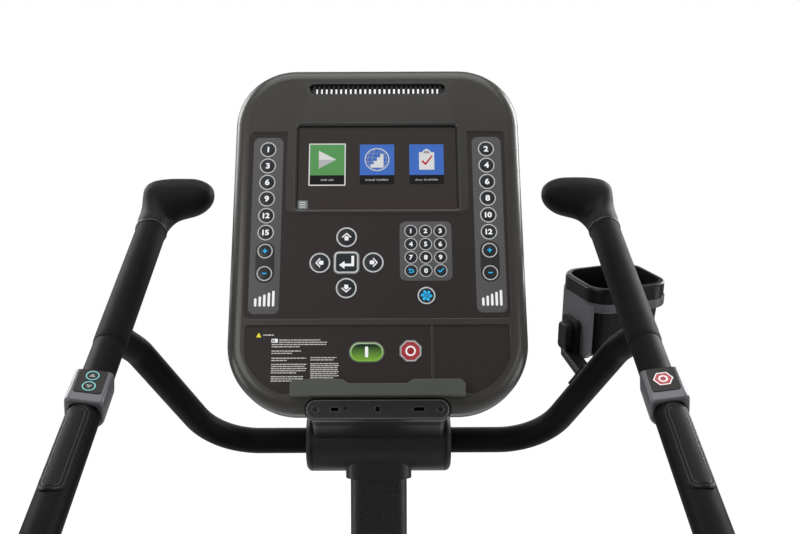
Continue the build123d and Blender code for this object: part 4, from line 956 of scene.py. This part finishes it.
text_line(-156.0, -141.5, -131.2, height=1.6)
set_lines(-138.0, ((-134, -78), (-134, -69), (-144, -70), (-144, -106)))
set_lines(-153.2, ((-144, -104), (-144, -116)))
set_lines(-163.0, ((-144, -97), (-144, -122)))
ragged_lines(-144, -96, top=-171.4, pitch=2.9, count=5, last_cut=14)
ragged_lines(-144, -100, top=-188.2, pitch=2.9, count=3, last_cut=16)
set_lines(-162.4, ((-91, -56), (-91, -60)))
ragged_lines(-91, -52, top=-170.6, pitch=2.75, count=8, last_cut=8)
on_overlay("note_lines", words, 0, 0.03, LIGHT_GREY, smooth=0)
BOOK_Y, PAGE_X = -138.3, -141.8
book = [round_rect(8.6, 5.4, 0.8, -140.2, BOOK_Y, 3), round_rect(3.6, 3.4, 0.4, PAGE_X, BOOK_Y, 3)]
book_dot = round_rect(1.6, 1.6, 0.4, PAGE_X, BOOK_Y, 3)
on_overlay("note_book", [book, book_dot], 0, 0.05, WHITE, smooth=0)

# ------------------------------------------------------------------ raised edge lines, lighter: painted highlight along panel edges
EDGE_LINE = 0.8  # width of the panel edge lines


def key_panel(inset, radii):
    """U shape round the screen."""
    side, notch = 184.4 - inset, 129.1 + inset
    bottom, top, sill = -108.9 + inset, 169.9 - inset, 45.9 - inset
    return round_corners([
        (-side, bottom), (side, bottom), (side, top), (notch, top),
        (notch, sill), (-notch, sill), (-notch, top), (-side, top),
    ], radii)


def lower_panel(left, right, inset, radii):
    top, bottom = -116.1 - inset, -211.9 + inset
    return round_corners(box(left + inset, top, right - inset, bottom), radii)


key_edge_highlight = [
    key_panel(0, [9, 9, 9, 1.2, 9, 9, 1.2, 9]),
    key_panel(EDGE_LINE, [8.2, 8.2, 8.2, 0.5, 9.8, 9.8, 0.5, 8.2]),
]
on_overlay("key_panel_edge", [key_edge_highlight], -0.2, 0.55, EDGE_HIGHLIGHT, bevel=0.25)
lower_edge_highlights = [
    [lower_panel(left, right, 0, outer), lower_panel(left, right, EDGE_LINE, inner)]
    for left, right, outer, inner in (
        (-181.4, 73.4, [6, 0.8, 0.8, 74], [5.2, 0.3, 0.3, 73.2]),
        (75.6, 181.4, [0.8, 6, 74, 0.8], [0.3, 5.2, 73.2, 0.3]),
    )
]
on_overlay("lower_panel_edges", lower_edge_highlights, -0.2, 0.55, EDGE_HIGHLIGHT, bevel=0.25)
# lighter lines round the screen and the air slot: painted highlight on their bevels
screen_edge_highlight = rect_band(236.4, 136.4, 7.4, 0.6, 0, SCREEN_Y)
flat("screen_frame_edge", [screen_edge_highlight], -0.2, 0.35, EDGE_HIGHLIGHT, bevel=0.2)
slot_edge_highlight = rect_band(203.6, 18.6, 9.3, 0.7, 0, 237.5, 12)
flat("air_slot_edge", [slot_edge_highlight], -0.3, 0.3, EDGE_HIGHLIGHT, bevel=0.2)

# socket bar
PORT_Y = -232.5
SQUARE_SOCKET, ROUND_SOCKET = (-57, PORT_Y), (55, PORT_Y)
# lighter line round the bar and lighter rims round its sockets and screws: painted highlight on
# their bevels
port_highlight_line = rect_band(188.6, 24.6, 12.2, 0.8, 0, PORT_Y, 12)
flat("port_edge_line", [port_highlight_line], 4.8, 5.35, PORT_EDGE_HIGHLIGHT, bevel=0.2)
flat("port_socket_rims", [
    rect_band(12.2, 6.6, 1.1, 0.8, *SQUARE_SOCKET, inner_radius=0.5),
    rect_band(16.8, 7.2, 2.9, 0.8, *ROUND_SOCKET),
    hoop(4.5, 3.65, 0, PORT_Y),
    hoop(5.1, 4.25, -83, PORT_Y),
    hoop(5.1, 4.25, 83, PORT_Y),
], 4.8, 5.3, EDGE_HIGHLIGHT, bevel=0.18)
# dark blocks sunk in the sockets: painted shade inside the holes
flat("port_socket_depths", [
    round_rect(10.3, 4.7, 0.4, *SQUARE_SOCKET),
    round_rect(14.9, 5.3, 2.0, *ROUND_SOCKET),
    circle(1.35, -43, PORT_Y + 1.5, 20),
], -7.9, -1.5, PAINTED_HOLE_SHADE, smooth=0)
# the floor of the jack's recess in the same painted shade
flat("port_jack_floor", [hoop(3.55, 1.85, 0, PORT_Y)], 3.5, 3.62, PAINTED_HOLE_SHADE, smooth=0)

# ------------------------------------------------------------------ rail remotes
ROLL = math.radians(10.0)
REMOTE_Y = 215.0  # near end of the housing
FACE_ALONG = 33.5  # middle of the face plate along the housing
FACE_UP = 23.35
KEY_UP = 23.4 + 0.45


def remote_frame(side):
    """Rail frame at the near end of the housing, rolled about the rail."""
    return rail_frame(REMOTE_Y, side) @ Matrix.Rotation(-side * ROLL, 4, "Z")


def remote_plane(side, along, up):
    """x to the user's right, y along the rail, z off the rail."""
    swap = Matrix(((-1, 0, 0, 0), (0, 0, 1, 0), (0, 1, 0, 0), (0, 0, 0, 1)))
    return remote_frame(side) @ Matrix.Translation((0, up * MM, along * MM)) @ swap


for name, shift, turn in (("speed_up", 9.0, 0), ("speed_down", -9.0, 180)):
    plane = remote_plane(-1, FACE_ALONG + shift, KEY_UP)
    body = name + "_button"
    key_ring = hoop(7.9, 6.5)
    flat(name + "_ring", [key_ring], -0.2, 0.25, REMOTE_RING, body, bevel=0.12, plane=plane)
    mark = round_corners(place([(0, 3.6), (-3.9, -2.3), (3.9, -2.3)], 0, 0, 1.0, turn), 0.5, 3)
    flat(name + "_mark", [mark], 0.0, 0.12, KEY_BEZEL, body, plane=plane, smooth=0)

plane = remote_plane(1, FACE_ALONG, KEY_UP)
band, inner = ([polygon(6, r) for r in radii] for radii in ((11.9, 10.5), (9.3, 8.6)))
for name, loop, low, high, finish, options in (
    ("band", band, -0.2, 0.2, WHITE, {"bevel": 0.06, "smooth": 20}),
    ("inner", inner, 0.0, 0.1, DARK_RED, {"smooth": 0}),
    ("ring", hoop(5.4, 3.6), 0.0, 0.2, WHITE, {"bevel": 0.05}),
    ("dot", circle(2.8), 0.0, 0.1, DARK_RED, {"smooth": 0}),
):
    body = "rail_stop_button"
    flat("rail_stop_" + name, [loop], low, high, finish, body, plane=plane, **options)
for side, hand in SIDES:
    plane = remote_plane(side, FACE_ALONG, FACE_UP)
    border = rect_band(32.9, 37.4, 3.8, 0.6, inner_radius=3.3)
    flat(hand + "_face_border", [border], 0.0, 0.12, GRILLE, plane=plane, bevel=0.04)

# ------------------------------------------------------------------ palm grips and sleeves
# Sections of the left grip: centre, two radii, the directions of the two radii
GRIP_SECTIONS = [
    ((-343.0, 587.0, 1465.7), 22.5, 22.4, (-1.0000, 0.0000, 0.0000), (0.0000, -0.3040, 0.9527)),
    ((-342.5, 600.9, 1472.4), 24.1, 22.6, (-0.8913, 0.1401, 0.4313), (0.3215, -0.4754, 0.8189)),
    ((-340.3, 615.0, 1480.3), 27.5, 23.6, (-0.8167, 0.1783, 0.5488), (0.2936, -0.6903, 0.6613)),
    ((-338.9, 625.7, 1487.5), 32.2, 24.6, (-0.7609, 0.2005, 0.6171), (0.1845, -0.8449, 0.5020)),
    ((-335.4, 634.3, 1494.6), 36.7, 25.2, (-0.6901, 0.2236, 0.6883), (0.0646, -0.9282, 0.3664)),
    ((-325.9, 639.1, 1499.7), 37.6, 25.4, (-0.6021, 0.2467, 0.7594), (0.0, -0.9511, 0.3090)),
    ((-310.8, 641.0, 1502.3), 34.8, 25.0, (-0.4685, 0.2730, 0.8402), (0.0, -0.9511, 0.3090)),
    ((-293.5, 641.6, 1503.9), 31.1, 24.0, (-0.3025, 0.2945, 0.9065), (0.0, -0.9511, 0.3090)),
    ((-277.8, 641.1, 1505.8), 27.2, 22.5, (-0.1549, 0.3053, 0.9396), (0.0, -0.9511, 0.3090)),
    ((-265.0, 640.4, 1506.9), 20.6, 19.0, (-0.0591, 0.3085, 0.9494), (0.0, -0.9511, 0.3090)),
    ((-257.3, 639.4, 1507.0), 12.6, 12.4, (0.0192, 0.3090, 0.9509), (0.0, -0.9511, 0.3090)),
    ((-254.6, 639.0, 1507.0), 5.6, 5.4, (0.0192, 0.3090, 0.9509), (0.0, -0.9511, 0.3090)),
]
GRIP_POINTS = 44
GRIP_STEPS = 4  # rings per section
GRIP_BEAD = {1: 1.035, 2: 1.05, 3: 1.05, 4: 1.03}  # ring number: scale, a bead round the neck


def catmull(p0, p1, p2, p3, t):
    return 0.5 * (
        2 * p1 + (p2 - p0) * t + (2 * p0 - 5 * p1 + 4 * p2 - p3) * t * t
        + (3 * p1 - p0 - 3 * p2 + p3) * t ** 3
    )


def grip_mesh(side):
    turns = [2 * math.pi * q / GRIP_POINTS for q in range(GRIP_POINTS)]
    sections = []
    for centre, radius_a, radius_b, along_a, along_b in GRIP_SECTIONS:
        middle, a, b = Vector(centre), Vector(along_a) * radius_a, Vector(along_b) * radius_b
        sections.append([middle + a * math.cos(q) + b * math.sin(q) for q in turns])
    rings = []
    last = len(sections) - 1
    for i in range(last):
        four = [sections[k] for k in (max(0, i - 1), i, i + 1, min(last, i + 2))]
        for j in range(GRIP_STEPS):
            rings.append([catmull(*points, j / GRIP_STEPS) for points in zip(*four)])
    rings.append(sections[-1])
    sized = []
    for i, ring in enumerate(rings):
        scale = GRIP_BEAD.get(i, 1.0)
        middle = sum(ring, Vector()) / GRIP_POINTS
        points = [middle + (p - middle) * scale for p in ring]
        sized.append([Vector((-side * p.x, p.y, p.z)) * MM for p in points])
    return skin("rings", sized, caps=True)


SLEEVE_Y, SLEEVE_END_Y = 331.0, 584.7
SLEEVE_LENGTH = (SLEEVE_END_Y - SLEEVE_Y) / COS_RAIL


def sleeve_profile():
    """(radius, distance along the rail), outer skin and the bore under it."""
    end = SLEEVE_LENGTH
    profile = [(20.03, 0.0), (20.2, 0.2), (20.5, 1.2), (20.9, 3.0), (21.15, 5.0)]
    profile += [(21.25 + 1.1 * k / 24, 5.0 + (end - 10) * k / 24) for k in range(1, 24)]
    return profile + [
        (22.4, end - 5), (22.4, end - 2.2), (21.6, end - 1.7), (20.9, end - 1.5),
        (20.9, end - 1.0), (19.0, end - 1.0), (19.0, end - 20), (20.1, 60.0),
    ]


# (radius, distance past the sleeve's end)
COLLAR_PROFILE = [
    (20.8, -1.6), (22.6, -1.4), (23.7, -0.7), (24.0, 0.4), (23.7, 1.5), (22.6, 2.2), (20.8, 2.4),
]
for side, hand in SIDES:
    grip = add_object(hand + "_palm_grip", grip_mesh(side), GRIP, smooth=50)
    if side == -1:
        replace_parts(grip, "palm_grips")
    axis = rail_frame(SLEEVE_Y, side)
    sleeve = add_object(hand + "_rail_sleeve", lathe(sleeve_profile(), axis), SLEEVE)
    collar = [(radius, SLEEVE_LENGTH + past) for radius, past in COLLAR_PROFILE]
    add_object(hand + "_sleeve_collar", lathe(collar, axis), COLLAR, smooth=50)
    if side == -1:
        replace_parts(sleeve, "rail_sleeves")

# ------------------------------------------------------------------ pulse pad outlines
PAD_Y = 91.0
PAD_RADIUS = 21.4
PAD_LENGTH = 120.0 / COS_RAIL


def drape(group, side, height):
    """Outline drawn in (across, along) millimetres and wrapped onto the rail from above."""
    mesh = join([slab(group, 0.0, height, plane=Matrix.Identity(4))])
    axis = rail_frame(PAD_Y, side)
    for vertex in mesh.vertices:
        angle = vertex.co.x / MM / PAD_RADIUS
        radius = (PAD_RADIUS + vertex.co.z / MM) * MM
        across, up = -radius * math.sin(angle), radius * math.cos(angle)
        vertex.co = axis @ Vector((across, up, vertex.co.y))
    return mesh


for side, hand in SIDES:
    for name, width, shorter, radius, wall, height in (
        ("_pad_outline", 28.6, 4.0, 11.5, 0.7, 0.35),
        ("_pad_inner_outline", 20.6, 12.0, 7.6, 0.6, 0.3),
    ):
        outline = rect_band(width, PAD_LENGTH - shorter, radius, wall, 0, PAD_LENGTH / 2, 12)
        add_object(hand + name, drape(outline, side, height), PAD_EDGE)

# ------------------------------------------------------------------ remote housings
HOUSING_LENGTH = 51.0 / COS_RAIL
WELL_HALF = 17.6  # of the well under the face plate, along the rail


def housing_section(inset, sunk=False):
    """Section across the rail; sunk cuts the well in which the keys travel."""
    side, bottom, top = 23.3 - inset, -23.5 + inset, 22.5 - inset * 0.8
    low_radius, top_radius = 18 - inset * 0.6, 6.4 - inset * 0.6
    points = round_corners(
        [(side, bottom), (side, top), (-side, top), (-side, bottom)],
        [low_radius, top_radius, top_radius, low_radius], 10,
    )

    def top_run(i):
        (x, y), (next_x, next_y) = points[i], points[i + 1]
        return x - next_x if y > 0 and next_y > 0 else -1.0

    cut = max(range(len(points) - 1), key=top_run) + 1
    floor_y = 20.3 if sunk else top
    well = [(13.5, top), (13.4, floor_y), (-13.4, floor_y), (-13.5, top)]
    return points[:cut] + well + points[cut:]


def end_inset(distance, radius):
    """How far a rounded end has drawn in at a distance from it."""
    if distance >= radius:
        return 0.0
    return radius - math.sqrt(max(0.0, radius * radius - (radius - distance) ** 2))


def housing_mesh(side):
    """Rounded block round the tube with softened ends; local z runs along the rail."""
    axis, end = remote_frame(side), HOUSING_LENGTH
    stations = [0.0, 0.25, 0.7, 1.4, 2.4, 3.6, 5.0]
    stations += [FACE_ALONG + d for d in (-WELL_HALF - 0.1, -WELL_HALF, WELL_HALF, WELL_HALF + 0.1)]
    stations += [end - 1.6, end - 1.0, end - 0.5, end - 0.15, end]
    rings = []
    for z in stations:
        inset = (end_inset(z, 5.0) if z < end / 2 else end_inset(end - z, 1.6)) * 0.72
        section = housing_section(inset, sunk=abs(z - FACE_ALONG) < WELL_HALF + 0.05)
        rings.append([axis @ Vector((x * MM, y * MM, z * MM)) for x, y in section])
    # back through the bore, wider at its mouths
    for z, radius in ((end, 20.9), (end - 1.2, 20.05), (1.2, 20.05), (0.0, 20.9)):
        ring = []
        for x, y in housing_section(3.6):
            scale = radius / math.hypot(x, y) * MM
            ring.append(axis @ Vector((x * scale, y * scale, z * MM)))
        rings.append(ring)
    return skin("rings", rings + [rings[0]])


for side, hand in SIDES:
    housing = add_object(hand + "_remote_housing", housing_mesh(side), REMOTE, smooth=38)
    if side == -1:
        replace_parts(housing, "remote_housings")


# ------------------------------------------------------------------ boot on the column
def boot_mesh():
    """Bellows with four waves, tapering up the column, and the bore inside."""
    foot = -(1162.0 - 838.0) / COS_COLUMN - 4.0
    profile = []  # width, depth, corner radius, height
    for k in range(41):
        t = k / 40
        grow = 0.0
        if 0.08 <= t <= 0.94:
            grow = -3.0 * (0.5 - 0.5 * math.cos(2 * math.pi * (t - 0.08) / 0.86 * 4))
        narrow = 17.6 * t
        profile.append((117.5 - narrow + grow, 93.5 - narrow + grow, 26 - 8 * t, foot + 56.5 * t))
    for width, depth, radius, height in (
        (97.5, 73.5, 17, 57.6), (88.0, 64.0, 15.5, 57.9), (84.6, 60.6, 14.2, 57.0),
        (84.4, 60.4, 14, 40), (84.4, 60.4, 14, 2), (100, 76, 20, 0),
    ):
        profile.append((width, depth, radius, foot + height))
    rings = []
    for width, depth, radius, height in profile:
        outline = round_rect(width, depth, radius, 0, 0, 10)
        rings.append([COLUMN_AXIS @ Vector((x * MM, y * MM, height * MM)) for x, y in outline])
    return skin("rings", rings + [rings[0]])


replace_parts(add_object("boot_bellows", boot_mesh(), BOOT, smooth=45), "column_boot")

# ------------------------------------------------------------------ pedal treads
PEDAL_X, PEDAL_Y = 135, -277.5
RIB_COUNT, RIB_PITCH, FIRST_RIB_Y = 21, 13.15, -409.0
for side, hand in SIDES:
    body = hand + "_foot_pedal"
    x = PEDAL_X * side
    mat = round_rect(142, 286, 19, x, PEDAL_Y)
    flat(hand + "_tread_mat", [mat], -0.2, 1.5, TREAD, body, bevel=0.5, plane=PEDAL_TOP)
    ribs = []
    for k in range(RIB_COUNT):
        end = 60.0 if 0 < k < RIB_COUNT - 1 else 54.0
        for left, right in ((-end, -24.5), (-18.5, 18.5), (24.5, end)):
            y = FIRST_RIB_Y + RIB_PITCH * k
            ribs.append(round_rect(right - left, 5.2, 2.4, x + (left + right) / 2, y, 4))
    flat(hand + "_tread_ribs", ribs, 1.3, 3.2, TREAD, body, bevel=0.7, plane=PEDAL_TOP)
    border = rect_band(141, 285, 18.5, 3.5, x, PEDAL_Y)
    flat(hand + "_tread_border", [border], 1.3, 2.6, TREAD, body, bevel=0.6, plane=PEDAL_TOP)

# ------------------------------------------------------------------ shrouds and wheels
# side outline (y, z)
SHROUD_OUTLINE = [
    (26, 80), (4, 250), (14, 430), (80, 560), (286, 806),
    (338, 838), (430, 822), (516, 620), (580, 340), (572, 80),
]
SHROUD_X = 0.124  # of the outward faces, metres
WHEEL_X, WHEEL_Y, WHEEL_Z = 0.260, 0.608, 0.038
HUB_HALF = 0.0105


def shroud_inset(inset):
    """Shroud outline drawn in by millimetres."""
    count = len(SHROUD_OUTLINE)
    points = []
    for i in range(count):
        before, corner, after = (Vector(SHROUD_OUTLINE[(i + j - 1) % count]) for j in range(3))
        edge_in, edge_out = (corner - before).normalized(), (after - corner).normalized()
        normal_in = Vector((edge_in.y, -edge_in.x))
        normal_out = Vector((edge_out.y, -edge_out.x))
        mitre = (normal_in + normal_out).normalized()
        points.append(tuple(corner + mitre * (inset / max(0.35, mitre.dot(normal_in)))))
    return points


def slats(width, height, radius, first_z):
    """Stack of nine tilted bars, widest in the middle."""
    return [
        place(
            round_rect(width - 3 * abs(k - 4), height, radius),
            330 + 3.2 * k, first_z + 15 * k, 1.0, 6,
        )
        for k in range(9)
    ]


SPOKE = [(5, -2.6), (17.5, -4.2), (17.5, 4.2), (5, 2.6)]
for side, hand in SIDES:
    # z out from the machine; local x is side * y
    plane = Matrix(
        ((0, 0, side, side * SHROUD_X), (side, 0, 0, 0), (0, 1, 0, 0), (0, 0, 0, 1))
    )
    bead = [round_corners(shroud_inset(52), 24), round_corners(shroud_inset(56), 21)]
    louvres = slats(104, 6.0, 2.9, 190)
    gaps = slats(98, 2.6, 1.2, 184.4)
    bead, louvres, gaps = (
        [[(side * x, y) for x, y in loop] for loop in loops] for loops in (bead, louvres, gaps)
    )
    flat(hand + "_shroud_bead", [bead], -0.3, 1.6, TRIM, plane=plane, bevel=0.8)
    flat(hand + "_shroud_louvres", louvres, -0.3, 2.4, TRIM, plane=plane, bevel=1.1)
    # dark strips between the louvres: painted shade in the vent openings
    flat(hand + "_shroud_vent_gaps", gaps, -0.3, 0.25, PAINTED_HOLE_SHADE, plane=plane, smooth=0)
    # hub spokes on both faces turn with the wheel
    for facing in (-1, 1):
        hub = Matrix.Translation((side * WHEEL_X + facing * HUB_HALF, WHEEL_Y, WHEEL_Z))
        hub = hub @ Matrix.Rotation(facing * math.pi / 2, 4, "Y")
        spokes = [round_corners(place(SPOKE, 0, 0, 1.0, 72 * q), 1.2, 3) for q in range(5)]
        name = hand + "_hub_spokes_" + ("in" if facing * side < 0 else "out")
        body = hand + "_transport_wheel"
        flat(name, spokes, -0.2, 0.9, CAST, body, plane=hub, bevel=0.3)

# ------------------------------------------------------------------ camera
camera = link(bpy.data.objects.new("camera", bpy.data.cameras.new("camera")))
camera.data.sensor_width = 36.0
camera.data.lens = 41.4
camera.data.shift_x = 0.0209
camera.data.clip_start = 0.02
camera.matrix_world = (
    Matrix.Translation((0.008, -0.755, 1.843))
    @ Matrix.Rotation(math.radians(90 - 18), 4, "X")
    @ Matrix.Rotation(math.radians(-0.22), 4, "Z")
)
bpy.context.scene.camera = camera

# ------------------------------------------------------------------ lights
KEY_POWER = 42.0
# name, location, target, (width, height), share of the key power
for name, location, target, size, share in (
    ("key", (-2.2, -2.0, 3.4), (0, 0.3, 1.2), (2.2, 2.2), 1.0),
    ("fill", (2.6, -1.8, 2.4), (0, 0.3, 1.1), (2.0, 2.0), 0.45),
    ("rim_left", (-2.4, 2.2, 2.6), (0, 0.4, 1.3), (1.6, 1.6), 0.9),
    ("rim_right", (2.4, 2.4, 2.4), (0, 0.4, 1.3), (1.6, 1.6), 0.9),
    ("top", (0, 0.9, 4.0), (0, 0.4, 0), (2.4, 2.4), 0.9),
    ("low_left", (-3.4, -0.4, 0.9), (0, 0, 0.6), (1.6, 1.6), 0.5),
    ("low_right", (3.4, -0.4, 0.9), (0, 0, 0.6), (1.6, 1.6), 0.5),
    ("back", (0, 4.2, 1.7), (0, 0.4, 0.9), (2.2, 2.2), 0.9),
    ("edge_left", (-1.3, 1.3, 1.9), (0, 0.55, 1.5), (0.25, 1.4), 0.1),
    ("edge_right", (1.3, 1.3, 1.9), (0, 0.55, 1.5), (0.25, 1.4), 0.26),
):
    light = bpy.data.lights.new(name, "AREA")
    light.shape = "RECTANGLE"
    light.size, light.size_y = size
    light.energy = share * KEY_POWER
    lamp = link(bpy.data.objects.new(name, light))
    lamp.location = location
    aim = Vector(target) - Vector(location)
    lamp.rotation_euler = aim.to_track_quat("-Z", "Y").to_euler()


# ------------------------------------------------------------------ floor and surround
def camera_only(tree, otherwise):
    """1 for camera rays, a dimmer value for the rest."""
    seen = node(tree, "LightPath").outputs["Is Camera Ray"]
    inputs = {"Value": seen, "To Min": otherwise, "To Max": 1.0}
    return node(tree, "MapRange", inputs).outputs["Result"]


def floor_material():
    """Pale floor that fades into the white surround."""
    made, tree, shader, coords = new_shader("studio_floor")
    tones = ((0.78, 0.78, 0.785, 1), (0.82, 0.82, 0.82, 1))
    feed(tree, shader, {
        "Base Color": ramp(tree, noise(tree, coords, 40.0), colours=tones),
        "Roughness": 0.85,
        "Specular IOR Level": 0.15,
    })
    distance = node(tree, "VectorMath", {0: coords}, operation="LENGTH").outputs["Value"]
    fade_range = {"Value": distance, "From Min": 0.9, "From Max": 3.2}
    fade = node(tree, "MapRange", fade_range, interpolation_type="SMOOTHSTEP")
    far = node(tree, "Emission", {"Strength": camera_only(tree, otherwise=0.22)})
    seen = node(tree, "LightPath").outputs["Is Camera Ray"]
    lift = node(tree, "Math", {0: seen, 1: 0.33}, operation="MULTIPLY").outputs[0]
    glow = node(tree, "Emission", {"Strength": lift})
    near = node(tree, "AddShader", {0: shader.outputs[0], 1: glow.outputs[0]})
    mixed = node(tree, "MixShader", {
        0: fade.outputs["Result"], 1: near.outputs[0], 2: far.outputs[0],
    })
    feed(tree, tree.nodes["Material Output"], {"Surface": mixed.outputs[0]})
    return made


bm = bmesh.new()
bmesh.ops.create_grid(bm, x_segments=4, y_segments=4, size=14)
floor_mesh = bpy.data.meshes.new("floor")
bm.to_mesh(floor_mesh)
bm.free()
floor_mesh.materials.append(floor_material())
link(bpy.data.objects.new("floor", floor_mesh))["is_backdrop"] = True

world = bpy.data.worlds.new("studio")
bpy.context.scene.world = world
world.use_nodes = True
feed(world.node_tree, world.node_tree.nodes["Background"], {
    "Color": (1, 1, 1, 1),
    "Strength": camera_only(world.node_tree, otherwise=0.15),
})
bpy.context.scene.view_settings.view_transform = "Standard"

low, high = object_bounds()
